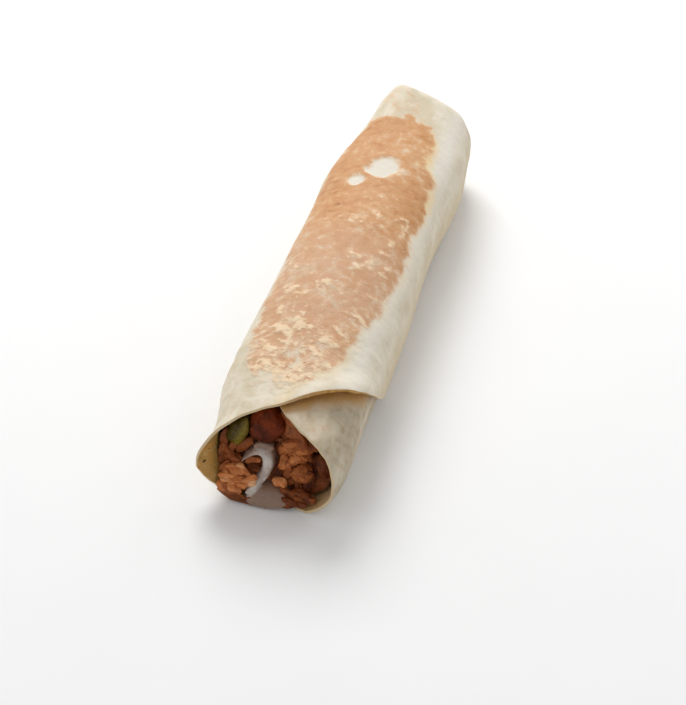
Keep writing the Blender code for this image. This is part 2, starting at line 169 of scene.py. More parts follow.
@dataclass(frozen=True)
class Roll:
    """Shape of the rolled sheet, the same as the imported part's.

    A hump or a hollow is given as its height, the place it stands at and how wide it is.
    """

    length: float = 212.0
    sheet_radius: float = 150.0
    thickness: float = 1.8
    pitch: float = 2.15  # how much deeper the sheet lies after a turn
    room_gap: float = 0.8
    wind_start: float = -40.0
    wind_end: float = 544.0
    outer_edge: Triple = (226.0, 0.48, 142.0)  # where, mm per degree, reach
    inner_edge: Triple = (352.0, 0.69, 132.0)
    step_span: Pair = (26.0, 9.0)  # the inner end's step is eased off over this
    half_width: float = 28.5
    shoulder: Triple = (0.9, 52.0, 28.0)
    waist: Triple = (1.2, 136.0, 26.0)
    left_pinch: Triple = (2.8, 10.0, 14.7)
    right_pinch: float = 2.2
    left_taper: Pair = (9.9, 152.0)  # how much narrower at the tail, and from where
    right_taper: Pair = (4.6, 164.0)
    mouth_height: float = 38.6
    body_height: float = 45.5
    tail_height: float = 43.7
    rise_span: Pair = (-20.0, 95.0)
    fall_start: float = 120.0
    centre_share: float = 0.48
    belly: float = 4.6
    roundness: float = 2.25
    dent: float = 0.35
    lip_reach: float = 10.5
    lip_flare: Triple = (4.3, 186.0, 18.0)
    tail_corner: Triple = (3.4, 105.0, 17.0)
    tail_bend: float = 7.2
    tail_turn_in: float = 6.0
    tail_dish: float = 1.6
    core_end: float = 13.0
    # the filling's front face: start, slope, hollow at the right and heap at the lower left
    face_start: float = 2.4
    face_slope: float = 0.36
    face_foot: Triple = (1.9, 4.0, 13.0)
    face_hollow: Quad = (4.5, 15.0, 21.0, 98.0)
    face_heap: Quad = (2.6, -14.0, 5.0, 60.0)

    def lip(self, y: Array) -> Array:
        """How much of the lip's flare is left at a station, 1 at the mouth."""
        return np.clip(1.0 - y / self.lip_reach, 0.0, 1.0) ** 2

    def half_widths(self, y: Array) -> tuple[Array, Array]:
        """Half widths of the roll.

        Args:
            y: stations down the roll.
        Returns:
            The left and the right half width at each.
        """
        shoulder = bulge(y, *self.shoulder)
        waist = bulge(y, *self.waist)
        loss, start = self.left_taper
        left = self.half_width - bulge(y, *self.left_pinch) + shoulder - waist
        left = left - loss * smooth(start, self.length, y)
        loss, start = self.right_taper
        right = self.half_width - self.right_pinch * self.lip(y) + 0.5 * shoulder - waist
        return left, right - loss * smooth(start, self.length + 2.0, y)

    def height(self, y: Array) -> Array:
        """Full height of the roll.

        Args:
            y: stations down the roll.
        Returns:
            The height at each.
        """
        rise = (self.body_height - self.mouth_height) * smooth(*self.rise_span, y)
        fall = (self.body_height - self.tail_height) * smooth(self.fall_start, self.length, y)
        return self.mouth_height + rise - fall

    def hull(self, angle: Array, along: Array) -> Array:
        """Point on the outer hull.

        Args:
            angle: degrees round the roll.
            along: distance down the roll and round the tucked tail.
        Returns:
            Points in millimetres about the mouth.
        """
        turn = np.radians(angle)
        straight = self.length - self.tail_bend
        bend = np.maximum(0.0, along - straight)
        sweep = np.minimum(bend / self.tail_bend, math.pi / 2.0)
        inwards = np.maximum(0.0, bend - self.tail_bend * math.pi / 2.0)
        y = np.minimum(along, straight) + self.tail_bend * np.sin(sweep)
        left, right = self.half_widths(y)
        full = self.height(y)
        centre = full * self.centre_share
        cosine = np.cos(turn)
        sine = np.sin(turn)
        wide = np.where(cosine > 0.0, right, left)
        tall = np.where(sine > 0.0, full - centre, centre + self.belly)
        power = self.roundness
        radius = (np.abs(cosine / wide) ** power + np.abs(sine / tall) ** power) ** (-1.0 / power)
        around = np.mod(angle, 360.0)
        radius = radius + self.lip(y) * bulge(around, *self.lip_flare)
        corner = smooth(self.length - 42.0, self.length - 4.0, y)
        radius = radius + corner * bulge(around, *self.tail_corner)
        dent = np.sin(2.0 * turn + y / 23.0) + np.sin(3.0 * turn - y / 17.0 + 1.0)
        radius = radius + self.dent * dent * smooth(5.0, 30.0, y)
        radius = radius - self.tail_bend * (1.0 - np.cos(sweep)) - inwards
        dish = self.tail_dish * (inwards / self.tail_turn_in) ** 2
        return stack(radius * cosine, y - dish, centre + radius * sine)

    def under(self, angle: Array, along: Array, depth: Array) -> Array:
        """Point at a depth below the hull, measured square to it.

        Args:
            angle: degrees round the roll.
            along: distance down the roll.
            depth: millimetres below the hull, less than zero above it.
        Returns:
            Points in millimetres about the mouth.
        """
        step = 0.4
        across = self.hull(angle + step, along) - self.hull(angle - step, along)
        down = self.hull(angle, along + step) - self.hull(angle, along - step)
        inward = np.cross(across, down)
        inward = inward / np.linalg.norm(inward, axis=-1, keepdims=True)
        return self.hull(angle, along) + inward * np.asarray(depth)[..., None]

    def face_depth(self, winding: Array) -> Array:
        """Depth of the sheet's outer face below the hull at a winding angle."""
        return self.pitch * (winding - self.wind_start) / 360.0

    def front(self, winding: Array) -> Array:
        """How far the round sheet's front edge is drawn back from the mouth.

        Args:
            winding: winding angles.
        Returns:
            Millimetres at each.
        """
        place, rate, reach = self.outer_edge
        outer = np.clip(rate * (place - winding), 0.0, reach)
        place, rate, reach = self.inner_edge
        inner = np.clip(rate * (winding - place), 0.0, reach)
        across = np.maximum(outer, inner)
        return self.sheet_radius - np.sqrt(self.sheet_radius ** 2 - across ** 2)

    def end(self) -> float:
        """Distance down the roll and round the tail of the sheet's far edge."""
        return self.length - self.tail_bend + self.tail_bend * math.pi / 2.0 + self.tail_turn_in

    def filling_front(self, x: Array, z: Array) -> Array:
        """Station of the filling's uneven front face.

        Args:
            x: places across the mouth.
            z: their heights.
        Returns:
            The station at each place.
        """
        foot, low, high = self.face_foot
        face = self.face_start + self.face_slope * z - foot * (1.0 - smooth(low, high, z))
        deep, middle_x, middle_z, spread = self.face_hollow
        face = face + deep * np.exp(-((x - middle_x) ** 2 + (z - middle_z) ** 2) / spread)
        proud, middle_x, middle_z, spread = self.face_heap
        return face - proud * np.exp(-((x - middle_x) ** 2 + (z - middle_z) ** 2) / spread)

    def room(self, around: Array, along: Array, inset: float) -> Array:
        """Point on the wall of the room inside the innermost turn.

        Args:
            around: share of the way round, from 0 to 1.
            along: distance down the roll.
            inset: extra millimetres inside the wall.
        Returns:
            Points in millimetres about the mouth.
        """
        winding = self.wind_end - 360.0 + 360.0 * around
        depth = self.face_depth(winding) + self.thickness + self.room_gap
        first, last = self.step_span
        reach = self.front(winding)
        free = 1.0 - smooth(reach - first, reach - last, along)
        # where the wall comes round to the sheet's inner end, it eases down to that turn's depth
        reach = self.front(np.array(self.wind_end))
        eased = smooth(reach - first, reach - last, along) * (1.0 - smooth(0.0, 0.08, around))
        place = self.under(winding, along, depth + self.pitch * (eased - free) + inset)
        floor = self.thickness + self.room_gap + inset
        place[..., 2] = np.maximum(place[..., 2], floor)
        return place


ROLL = Roll()


# ---- modelling steps ----

def select_only(made: Piece) -> None:
    """Makes one object the only selected and the active one.

    Args:
        made: the object.
    """
    bpy.ops.object.select_all(action="DESELECT")
    made.select_set(True)
    bpy.context.view_layer.objects.active = made


def call_it(made: Piece, name: str) -> None:
    """Gives an object and its mesh the same name."""
    made.name = name
    made.data.name = name


def edit(made: Piece, *steps: Callable[[], Any]) -> None:
    """Runs edit-mode steps on an object with everything in it selected.

    Args:
        made: the object.
        steps: operator calls, each wrapped in a function of no arguments.
    """
    select_only(made)
    bpy.ops.object.mode_set(mode="EDIT")
    bpy.ops.mesh.select_all(action="SELECT")
    for step in steps:
        step()
    bpy.ops.object.mode_set(mode="OBJECT")


def apply(made: Piece, kind: str, **settings: Any) -> None:
    """Adds a modifier and applies it.

    Args:
        made: the object.
        kind: Blender's name of the modifier.
        settings: its settings.
    """
    modifier = made.modifiers.new(kind.lower(), kind)
    for name, value in settings.items():
        setattr(modifier, name, value)
    select_only(made)
    bpy.ops.object.modifier_apply(modifier=modifier.name)


def copied(source: Piece) -> Piece:
    """Copies an object together with its mesh.

    Args:
        source: the object.
    Returns:
        The copy, linked to the scene.
    """
    copy = source.copy()
    copy.data = source.data.copy()
    bpy.context.scene.collection.objects.link(copy)
    return copy


def joined(pieces: list[Piece], name: str) -> Piece:
    """Joins objects into the first of them.

    Args:
        pieces: the objects.
        name: what the joined one is called.
    Returns:
        The joined object.
    """
    select_only(pieces[0])
    for piece in pieces:
        piece.select_set(True)
    bpy.ops.object.join()
    made = bpy.context.object
    call_it(made, name)
    return made


def read_points(made: Piece) -> Array:
    """Reads a mesh's points as they are stored.

    Args:
        made: the object.
    Returns:
        Three numbers to a row.
    """
    flat = np.empty(len(made.data.vertices) * 3)
    made.data.vertices.foreach_get("co", flat)
    return flat.reshape(-1, 3)


def write_points(made: Piece, points: Array) -> None:
    """Stores points given in millimetres about the mouth as metres in the part's frame."""
    made.data.vertices.foreach_set("co", ((points - CENTRE) * MM).ravel())
    made.data.update()


def paint(made: Piece, name: str, values: Array) -> None:
    """Stores a number or a vector for every point.

    Args:
        made: the object.
        name: the attribute's name.
        values: one number, or three, for each point.
    """
    if values.ndim == 2:
        stored = made.data.attributes.new(name, "FLOAT_VECTOR", "POINT")
        stored.data.foreach_set("vector", values.astype(float).ravel())
        return
    stored = made.data.attributes.new(name, "FLOAT", "POINT")
    stored.data.foreach_set("value", values.astype(float).ravel())


def unit_grid(name: str, columns: int, rows: int) -> tuple[Piece, Array, Array]:
    """Adds a flat grid that a sheet or a skin is then shaped from.

    Args:
        name: the object's name.
        columns: faces across.
        rows: faces along.
    Returns:
        The object, and how far across and along each point lies, from 0 to 1.
    """
    bpy.ops.object.select_all(action="DESELECT")
    bpy.ops.mesh.primitive_grid_add(x_subdivisions=columns, y_subdivisions=rows, size=1.0)
    made = bpy.context.object
    call_it(made, name)
    points = read_points(made)
    across = np.round((points[:, 0] + 0.5) * columns) / columns
    along = np.round((points[:, 1] + 0.5) * rows) / rows
    return made, across, along


def close_skin(made: Piece) -> None:
    """Merges the seam and the poles of a skin and turns its faces outwards.

    Args:
        made: the object.
    """
    edit(made,
         lambda: bpy.ops.mesh.remove_doubles(threshold=MERGE_REACH),
         lambda: bpy.ops.mesh.normals_make_consistent(inside=False))


def round_off(made: Piece, degrees: float) -> None:
    """Shades a piece smooth except across edges sharper than the given angle."""
    select_only(made)
    bpy.ops.object.shade_smooth_by_angle(angle=math.radians(degrees))


def dress(made: Piece, *materials: Material) -> None:
    """Gives an object its materials.

    Args:
        made: the object.
        materials: one for each of its faces' slots, in order.
    """
    made.data.materials.clear()
    for material in materials:
        made.data.materials.append(material)


def finished(made: Piece, points: Array, marks: dict[str, Array], material: Material,
             degrees: float) -> Piece:
    """Shapes a grid into a closed skin and dresses it.

    Args:
        made: the grid.
        points: its points in millimetres about the mouth.
        marks: what its points are marked with, by name.
        material: its finish.
        degrees: edges sharper than this stay sharp.
    Returns:
        The same object.
    """
    write_points(made, points)
    for name, values in marks.items():
        paint(made, name, values)
    close_skin(made)
    dress(made, material)
    round_off(made, degrees)
    return made


# ---- finishes ----

def srgb(red: int, green: int, blue: int) -> Colour:
    """A screen colour as the linear one that shaders take.

    Args:
        red: level from 0 to 255.
        green: the same.
        blue: the same.
    Returns:
        The colour.
    """
    def straight(level: int) -> float:
        """One channel, from 0 to 255, made linear."""
        share = level / 255.0
        return share / 12.92 if share <= 0.04045 else ((share + 0.055) / 1.055) ** 2.4
    return straight(red), straight(green), straight(blue)


NOISE_ROUGHNESS = 0.55
REDDISH_GLOW = (1.0, 0.5, 0.3)  # how far red, green and blue light get below a surface
COAT_ROUGHNESS = 0.18


class Workbench:
    """A material's node tree while it is being built."""

    def __init__(self, name: str) -> None:
        """Starts a material with its one shader.

        Args:
            name: the material's name.
        """
        self.material = bpy.data.materials.new(name)
        self.material.use_nodes = True
        self.tree = self.material.node_tree
        self.shader = self.tree.nodes["Principled BSDF"]

    def feed(self, socket: Socket, value: Any) -> None:
        """Links a socket to another, or sets it to a number, vector or colour.

        Args:
            socket: the one that is fed.
            value: the socket or the value that feeds it.
        """
        if isinstance(value, Socket):
            self.tree.links.new(value, socket)
        elif socket.type == "RGBA":
            socket.default_value = (*value[:3], 1.0)
        else:
            socket.default_value = value

    def add(self, kind: str, inputs: dict[Any, Any], **settings: Any) -> bpy.types.Node:
        """Adds a node.

        Args:
            kind: Blender's name of the node.
            inputs: sockets, by name or number, and what feeds them.
            settings: the node's own settings.
        Returns:
            The node.
        """
        node = self.tree.nodes.new(kind)
        for name, value in settings.items():
            setattr(node, name, value)
        for name, value in inputs.items():
            self.feed(node.inputs[name], value)
        return node

    def place(self) -> Socket:
        """Place on the object.

        Returns:
            Millimetres along the object's own axes.
        """
        source = self.add("ShaderNodeTexCoord", {})
        scaled = self.add("ShaderNodeMapping", {"Vector": source.outputs["Object"],
                                                "Scale": (1.0 / MM,) * 3})
        return scaled.outputs[0]

    def stored(self, name: str, vector: bool = False) -> Socket:
        """A number or vector stored on the mesh's points."""
        node = self.add("ShaderNodeAttribute", {}, attribute_name=name)
        return node.outputs["Vector" if vector else "Fac"]

    def noise(self, vector: Socket, cell: float, detail: float = 2.0,
              stretch: Triple = (1.0, 1.0, 1.0), warp: float = 0.0) -> Socket:
        """Noise with bumps of a given size.

        Args:
            vector: place in millimetres.
            cell: size of the bumps.
            detail: layers of finer noise.
            stretch: how much longer the bumps are in each direction.
            warp: how much the noise is bent by itself.
        Returns:
            Numbers about 0.5.
        """
        scale = tuple(1.0 / (cell * part) for part in stretch)
        mapped = self.add("ShaderNodeMapping", {"Vector": vector, "Scale": scale})
        node = self.add("ShaderNodeTexNoise", {"Vector": mapped.outputs[0], "Scale": 1.0,
                                               "Detail": detail, "Roughness": NOISE_ROUGHNESS,
                                               "Distortion": warp})
        return node.outputs[0]

    def spots(self, vector: Socket, cell: float) -> Socket:
        """Distance to the nearest of many scattered spots.

        Args:
            vector: place in millimetres.
            cell: how far apart the spots are.
        Returns:
            The distance in cells.
        """
        scale = (1.0 / cell,) * 3
        mapped = self.add("ShaderNodeMapping", {"Vector": vector, "Scale": scale})
        node = self.add("ShaderNodeTexVoronoi", {"Vector": mapped.outputs[0], "Scale": 1.0})
        return node.outputs["Distance"]

    def math(self, operation: str, first: Any, second: Any = 0.0) -> Socket:
        """One step of arithmetic on two numbers or sockets."""
        return self.add("ShaderNodeMath", {0: first, 1: second}, operation=operation).outputs[0]

    def times(self, first: Any, second: Any) -> Socket:
        """Two numbers or sockets multiplied."""
        return self.math("MULTIPLY", first, second)

    def plus(self, first: Any, second: Any) -> Socket:
        """Two numbers or sockets added."""
        return self.math("ADD", first, second)

    def centred(self, level: Socket, strength: float) -> Socket:
        """Noise about 0.5 moved to lie about 0, times a strength."""
        return self.times(self.math("SUBTRACT", level, 0.5), strength)

    def span(self, value: Any, low: float, high: float, start: float = 0.0,
             stop: float = 1.0) -> Socket:
        """Maps low..high to start..stop and clamps the ends."""
        node = self.add("ShaderNodeMapRange", {0: value, 1: low, 2: high, 3: start, 4: stop})
        return node.outputs[0]

    def blend(self, share: Any, first: Any, second: Any) -> Socket:
        """Mixes two colours, a share of 1 giving the second."""
        node = self.add("ShaderNodeMix", {0: share, 6: first, 7: second}, data_type="RGBA")
        return node.outputs[2]

    def ramp(self, value: Any, stops: tuple[tuple[float, Colour], ...]) -> Socket:
        """Colours along a scale from 0 to 1.

        Args:
            value: where on the scale each place is.
            stops: positions on the scale and their colours.
        Returns:
            The colour.
        """
        node = self.add("ShaderNodeValToRGB", {0: value})
        marks = node.color_ramp.elements
        while len(marks) < len(stops):
            marks.new(0.5)
        for mark, (position, colour) in zip(marks, stops):
            mark.position = position
            mark.color = (*colour, 1.0)
        return node.outputs[0]

    def relief(self, *layers: tuple[Socket, float]) -> Socket:
        """A normal bumped by layers of relief, each lying on the one before.

        Args:
            layers: each one's height, about 0 to 1, and its depth in millimetres.
        Returns:
            The normal.
        """
        normal = None
        for height, depth in layers:
            inputs = {"Height": height, "Distance": depth * MM, "Strength": 1.0}
            if normal is not None:
                inputs["Normal"] = normal
            normal = self.add("ShaderNodeBump", inputs).outputs[0]
        return normal


@dataclass(frozen=True)
class Finish:
    """What all finishes share: a name and the numbers set on the shader's own sockets."""

    name: str
    shine: float = 0.35
    softness: float = 0.0
    soft_depth: float = 1.0
    coat: float = 0.0

    def start(self) -> Workbench:
        """Starts the material.

        Returns:
            A workbench with this finish's fixed numbers set.
        """
        bench = Workbench(self.name)
        sockets = bench.shader.inputs
        sockets["Specular IOR Level"].default_value = self.shine
        sockets["Subsurface Weight"].default_value = self.softness
        sockets["Subsurface Scale"].default_value = self.soft_depth * MM
        sockets["Subsurface Radius"].default_value = REDDISH_GLOW
        sockets["Coat Weight"].default_value = self.coat
        sockets["Coat Roughness"].default_value = COAT_ROUGHNESS
        return bench

    def finish(self, bench: Workbench, colour: Any, roughness: Any, normal: Any) -> Material:
        """Feeds the shader what changes from place to place.

        Args:
            bench: the material being built.
            colour: its base colour.
            roughness: its roughness.
            normal: its bumped normal.
        Returns:
            The finished material.
        """
        sockets = bench.shader.inputs
        bench.feed(sockets["Base Color"], colour)
        bench.feed(sockets["Roughness"], roughness)
        bench.feed(sockets["Normal"], normal)
        return bench.material

    def make(self) -> Material:
        """Builds the material."""
        raise NotImplementedError


@dataclass(frozen=True)
class Crust(Finish):
    """Griddled outer face of the flatbread: cream, with the browned patch stored on its points."""

    name: str = "flatbread_crust"
    shine: float = 0.22
    softness: float = 0.12
    soft_depth: float = 1.5
    cream: Colour = srgb(226, 216, 196)
    shade: Colour = srgb(212, 199, 173)
    dim: Colour = srgb(196, 182, 154)
    flake: Colour = srgb(240, 215, 180)
    warm: Colour = srgb(231, 202, 164)
    tan: Colour = srgb(213, 167, 124)
    brown: Colour = srgb(198, 143, 95)
    scorch: Colour = srgb(156, 100, 62)
    rose: Colour = srgb(207, 168, 138)
    # the next two colours grey the inner turn, partly from steaming and partly as painted shade
    steam: Colour = srgb(180, 168, 146)
    grey: Colour = srgb(146, 138, 112)
    yellow: Colour = srgb(238, 210, 160)
    bare: Colour = srgb(224, 217, 203)
    # whiter band on the right flank: partly a floury dusting, partly painted highlight
    white: Colour = srgb(236, 231, 220)
    # painted shade for the roll's right side, from its middle down
    wheat: Colour = srgb(206, 188, 156)
    # painted ochre shadow under the lifted flap's edge
    stain: Colour = srgb(196, 149, 84)

    def dough(self, bench: Workbench, cloudy: Socket, mottled: Socket) -> Socket:
        """Colour of the bread where it isn't browned, with painted shade and a painted highlight laid into
        it.

        Args:
            bench: the material being built.
            cloudy: broad noise.
            mottled: finer noise.
        Returns:
            The colour.
        """
        colour = bench.blend(bench.span(cloudy, 0.42, 0.62), self.cream, self.shade)
        damp = bench.times(bench.span(mottled, 0.48, 0.72), 0.32)
        colour = bench.blend(damp, colour, self.dim)
        # whiter band on the right flank: partly a floury dusting, partly painted highlight
        flour = bench.times(bench.stored("flour"), bench.span(cloudy, 0.3, 0.6, 0.55, 1.0))
        colour = bench.blend(flour, colour, self.white)
        # painted shade darkens the roll's right side, from its middle down
        colour = bench.blend(bench.times(bench.stored("dusk"), 0.85), colour, self.wheat)
        # the inner turn greys, partly from steaming and partly as painted shade
        steam = bench.blend(bench.span(mottled, 0.46, 0.68), self.steam, self.grey)
        colour = bench.blend(bench.times(bench.stored("steamed"), 0.95), colour, steam)
        colour = bench.blend(bench.times(bench.stored("halo"), 0.85), colour, self.yellow)
        colour = bench.blend(bench.span(bench.stored("bubbles"), 0.05, 0.7), colour, self.bare)
        # painted ochre shadow on the inner turn beneath the flap's edge
        return bench.blend(bench.stored("stained"), colour, self.stain)

    def browning(self, bench: Workbench, mottled: Socket, fine: Socket) -> Socket:
        """How browned each place is, with a ragged border.

        Args:
            bench: the material being built.
            mottled: broad noise that frays the border.
            fine: finer noise that does the same.
        Returns:
            A level from 0 to about 1.2.
        """
        toast = bench.stored("toast")
        fray = bench.plus(bench.centred(mottled, 1.1), bench.centred(fine, 0.5))
        return bench.plus(toast, bench.times(fray, bench.span(toast, 0.0, 0.3, 0.25, 1.0)))

    def griddled(self, bench: Workbench, level: Socket, cloudy: Socket) -> Socket:
        """Colour of the browned skin, rosier near the mouth.

        Args:
            bench: the material being built.
            level: how browned it is.
            cloudy: broad noise.
        Returns:
            The colour.
        """
        colour = bench.ramp(bench.span(level, 0.0, 1.25), ((0.0, self.warm), (0.34, self.tan),
                                                           (0.72, self.brown), (1.0, self.scorch)))
        rosy = bench.times(bench.stored("near"), bench.span(cloudy, 0.3, 0.6, 0.45, 0.95))
        return bench.blend(bench.times(rosy, 0.75), colour, self.rose)

    def line(self, bench: Workbench, level: Socket, half: float) -> Socket:
        """Soft lines where noise crosses its middle value.

        Args:
            bench: the material being built.
            level: the noise.
            half: half the width of a line, in the noise's own units.
        Returns:
            1 on a line, 0 away from it.
        """
        off = bench.math("ABSOLUTE", bench.math("SUBTRACT", level, 0.5))
        return bench.span(off, half * 0.3, half, 1.0, 0.0)

    def ridges(self, bench: Workbench, peeling: Socket, broken: Socket) -> Socket:
        """Pale wavy ridges of peeling skin, broken here and there.

        Args:
            bench: the material being built.
            peeling: how strongly the skin peels.
            broken: noise that breaks the ridges.
        Returns:
            1 on a ridge, 0 away from it.
        """
        skin = bench.stored("skin", vector=True)
        wavy = self.line(bench, bench.noise(skin, 8.5, 0.7, (1.7, 1.0, 1.0)), 0.085)
        close = self.line(bench, bench.noise(skin, 5.0, 0.5, (1.5, 1.0, 1.0)), 0.10)
        lines = bench.times(bench.math("MAXIMUM", wavy, close), bench.span(peeling, 0.62, 1.30))
        return bench.times(lines, bench.span(broken, 0.40, 0.60))

    def make(self) -> Material:
        """Builds the material.

        Returns:
            The material.
        """
        bench = self.start()
        skin = bench.stored("skin", vector=True)
        peeled = bench.stored("peeled")
        cloudy = bench.noise(skin, 11.0, 3.0, (1.0, 1.4, 1.0), 0.3)
        mottled = bench.noise(skin, 3.2, 3.0, (1.3, 1.0, 1.0), 0.2)
        fine = bench.noise(skin, 0.9, 3.0)
        broken = bench.noise(skin, 2.5, 2.2, (1.4, 1.0, 1.2))

        level = self.browning(bench, mottled, fine)
        colour = bench.blend(bench.span(level, 0.02, 0.55), self.dough(bench, cloudy, mottled),
                             self.griddled(bench, level, cloudy))
        ridges = self.ridges(bench, bench.plus(peeled, cloudy), broken)
        paling = bench.times(bench.span(level, 0.0, 0.25, 0.0, 0.55), ridges)
        colour = bench.blend(paling, colour, self.flake)

        lifted = bench.plus(bench.plus(bench.stored("flakes"), bench.centred(broken, 2.6)),
                            bench.times(peeled, 0.22))
        crisp = bench.times(bench.span(lifted, 0.38, 0.84), bench.span(level, 0.0, 0.25))
        colour = bench.blend(bench.times(crisp, 0.80), colour, self.flake)
        freckle = bench.span(bench.spots(skin, 2.6), 0.12, 0.02)
        freckle = bench.times(freckle, bench.span(level, 0.45, 0.9))
        colour = bench.blend(bench.times(freckle, 0.5), colour, self.scorch)

        relief = bench.relief((cloudy, 0.5), (mottled, 0.30), (ridges, 0.18), (crisp, 0.09), (fine, 0.08))
        return self.finish(bench, colour, bench.span(level, 0.0, 1.0, 0.72, 0.56), relief)


@dataclass(frozen=True)
class Crumb(Finish):
    """Inner face of the flatbread, tinted by oil and spices near the filling, and lightened by painted
    light low on the right, where the mouth lies in shade.
    """

    name: str = "flatbread_inside"
    softness: float = 0.10
    soft_depth: float = 1.2
    oiled: Colour = srgb(188, 142, 74)
    olive: Colour = srgb(158, 126, 62)
    pale: Colour = srgb(198, 166, 112)
    spice: Colour = srgb(150, 92, 40)
    # painted light: a paler tint that brightens the inner face low on the right, deep in the mouth's shade
    wan: Colour = srgb(222, 186, 142)

    def make(self) -> Material:
        """Builds the material.

        Returns:
            The material.
        """
        bench = self.start()
        skin = bench.stored("skin", vector=True)
        broad = bench.noise(skin, 9.0, 3.0, warp=0.5)
        mottled = bench.noise(skin, 2.4, 4.0)
        fine = bench.noise(skin, 0.7, 2.0)
        colour = bench.blend(bench.span(broad, 0.40, 0.62), self.oiled, self.olive)
        colour = bench.blend(bench.span(mottled, 0.55, 0.75), colour, self.pale)
        # painted light brightens the inner face low on the right, where it lies in shade
        colour = bench.blend(bench.stored("wan"), colour, self.wan)
        speck = bench.span(bench.spots(skin, 3.4), 0.16, 0.05)
        colour = bench.blend(bench.times(speck, 0.5), colour, self.spice)
        relief = bench.relief((mottled, 0.25), (fine, 0.08))
        return self.finish(bench, colour, bench.span(broad, 0.3, 0.7, 0.42, 0.62), relief)


@dataclass(frozen=True)
class CutEdge(Finish):
    """The flatbread's thin edge: warm ochre where it lies free over the inner turn."""

    name: str = "flatbread_edge"
    shine: float = 0.25
    softness: float = 0.12
    soft_depth: float = 1.2
    ochre: Colour = srgb(200, 154, 86)
    deep: Colour = srgb(176, 130, 64)
    cream: Colour = srgb(216, 200, 168)

    def make(self) -> Material:
        """Builds the material.

        Returns:
            The material.
        """
        bench = self.start()
        skin = bench.stored("skin", vector=True)
        mottled = bench.noise(skin, 1.6, 4.0, (2.5, 1.0, 1.0))
        colour = bench.blend(bench.span(mottled, 0.4, 0.65), self.ochre, self.deep)
        colour = bench.blend(bench.stored("ochre"), self.cream, colour)
        relief = bench.relief((mottled, 0.2))
        return self.finish(bench, colour, bench.span(mottled, 0.3, 0.7, 0.6, 0.75), relief)


@dataclass(frozen=True)
class Roast(Finish):
    """Roasted chicken: fibres along each strip, dark and crusty to pale and moist by its tone. Pieces in
    the shaded right of the mouth are toned low, so there the darkness is painted shade.
    """

    name: str = "roast_chicken"
    shine: float = 0.2
    softness: float = 0.08
    dark: Colour = srgb(86, 36, 14)
    brown: Colour = srgb(150, 80, 36)
    orange: Colour = srgb(212, 132, 76)
    pale: Colour = srgb(236, 182, 134)
    char: Colour = srgb(50, 18, 8)

    def make(self) -> Material:
        """Builds the material.

        Returns:
            The material.
        """
        bench = self.start()
        fibre = bench.stored("fibre", vector=True)
        tone = bench.stored("tone")
        threads = bench.noise(fibre, 0.55, 3.0, (9.0, 1.0, 1.0), 0.3)
        patches = bench.noise(fibre, 3.0, 3.0, (1.8, 1.0, 1.0), 0.4)
        fine = bench.noise(fibre, 0.4, 2.0)
        mixed = bench.plus(bench.times(threads, 0.45), bench.times(patches, 0.75))
        level = bench.plus(bench.math("SUBTRACT", mixed, 0.6), tone)
        colour = bench.ramp(level, ((0.0, self.dark), (0.35, self.brown), (0.68, self.orange),
                                    (1.0, self.pale)))
        burnt = bench.times(bench.span(patches, 0.56, 0.70), bench.span(tone, 0.75, 0.2))
        colour = bench.blend(bench.times(burnt, 0.8), colour, self.char)
        relief = bench.relief((patches, 0.5), (threads, 0.45), (fine, 0.06))
        return self.finish(bench, colour, bench.span(patches, 0.3, 0.7, 0.30, 0.52), relief)


@dataclass(frozen=True)
class Cream(Finish):
    """Garlic sauce: glossy grey-white cream with faint oil and spice streaks."""

    name: str = "garlic_cream"
    shine: float = 0.5
    softness: float = 0.25
    soft_depth: float = 2.0
    coat: float = 0.25
    white: Colour = srgb(204, 195, 186)
    lilac: Colour = srgb(172, 157, 148)
    stain: Colour = srgb(160, 118, 92)
    mauve: Colour = srgb(142, 112, 94)

    def make(self) -> Material:
        """Builds the material.

        Returns:
            The material.
        """
        bench = self.start()
        place = bench.place()
        broad = bench.noise(place, 5.0, 3.0, warp=0.6)
        streak = bench.noise(place, 1.7, 3.0, (1.0, 1.0, 2.4), 1.2)
        colour = bench.blend(bench.span(broad, 0.4, 0.6), self.white, self.lilac)
        stained = bench.times(bench.span(streak, 0.56, 0.74), 0.55)
        colour = bench.blend(stained, colour, self.stain)
        mixed = bench.plus(bench.stored("stained"), bench.span(streak, 0.3, 0.7, -0.18, 0.18))
        colour = bench.blend(bench.span(mixed, 0.1, 0.75), colour, self.mauve)
        relief = bench.relief((broad, 0.30), (streak, 0.06))
        return self.finish(bench, colour, bench.span(broad, 0.3, 0.7, 0.22, 0.38), relief)


@dataclass(frozen=True)
class TomatoFlesh(Finish):
    """Cooked tomato: wet dark red with paler veins, and painted shade on its lower part."""

    name: str = "tomato_flesh"
    shine: float = 0.12
    softness: float = 0.1
    soft_depth: float = 1.2
    red: Colour = srgb(118, 44, 8)
    dark: Colour = srgb(72, 22, 2)
    vein: Colour = srgb(132, 66, 20)
    # painted shade for the tomato's lower part
    deep: Colour = srgb(56, 14, 0)

    def make(self) -> Material:
        """Builds the material.

        Returns:
            The material.
        """
        bench = self.start()
        place = bench.place()
        broad = bench.noise(place, 4.0, 3.0, warp=0.5)
        veins = bench.noise(place, 1.3, 3.0, (1.0, 2.0, 1.6), 0.8)
        colour = bench.blend(bench.span(broad, 0.38, 0.62), self.red, self.dark)
        colour = bench.blend(bench.times(bench.span(veins, 0.58, 0.75), 0.6), colour, self.vein)
        # painted shade: the tomato darkens towards its bottom, the side turned from the light
        height = bench.add("ShaderNodeSeparateXYZ", {"Vector": place}).outputs["Z"]
        colour = bench.blend(bench.span(height, 31.0, 22.5, 0.0, 0.75), colour, self.deep)
        relief = bench.relief((broad, 0.25), (veins, 0.08))
        return self.finish(bench, colour, bench.span(veins, 0.3, 0.7, 0.34, 0.5), relief)


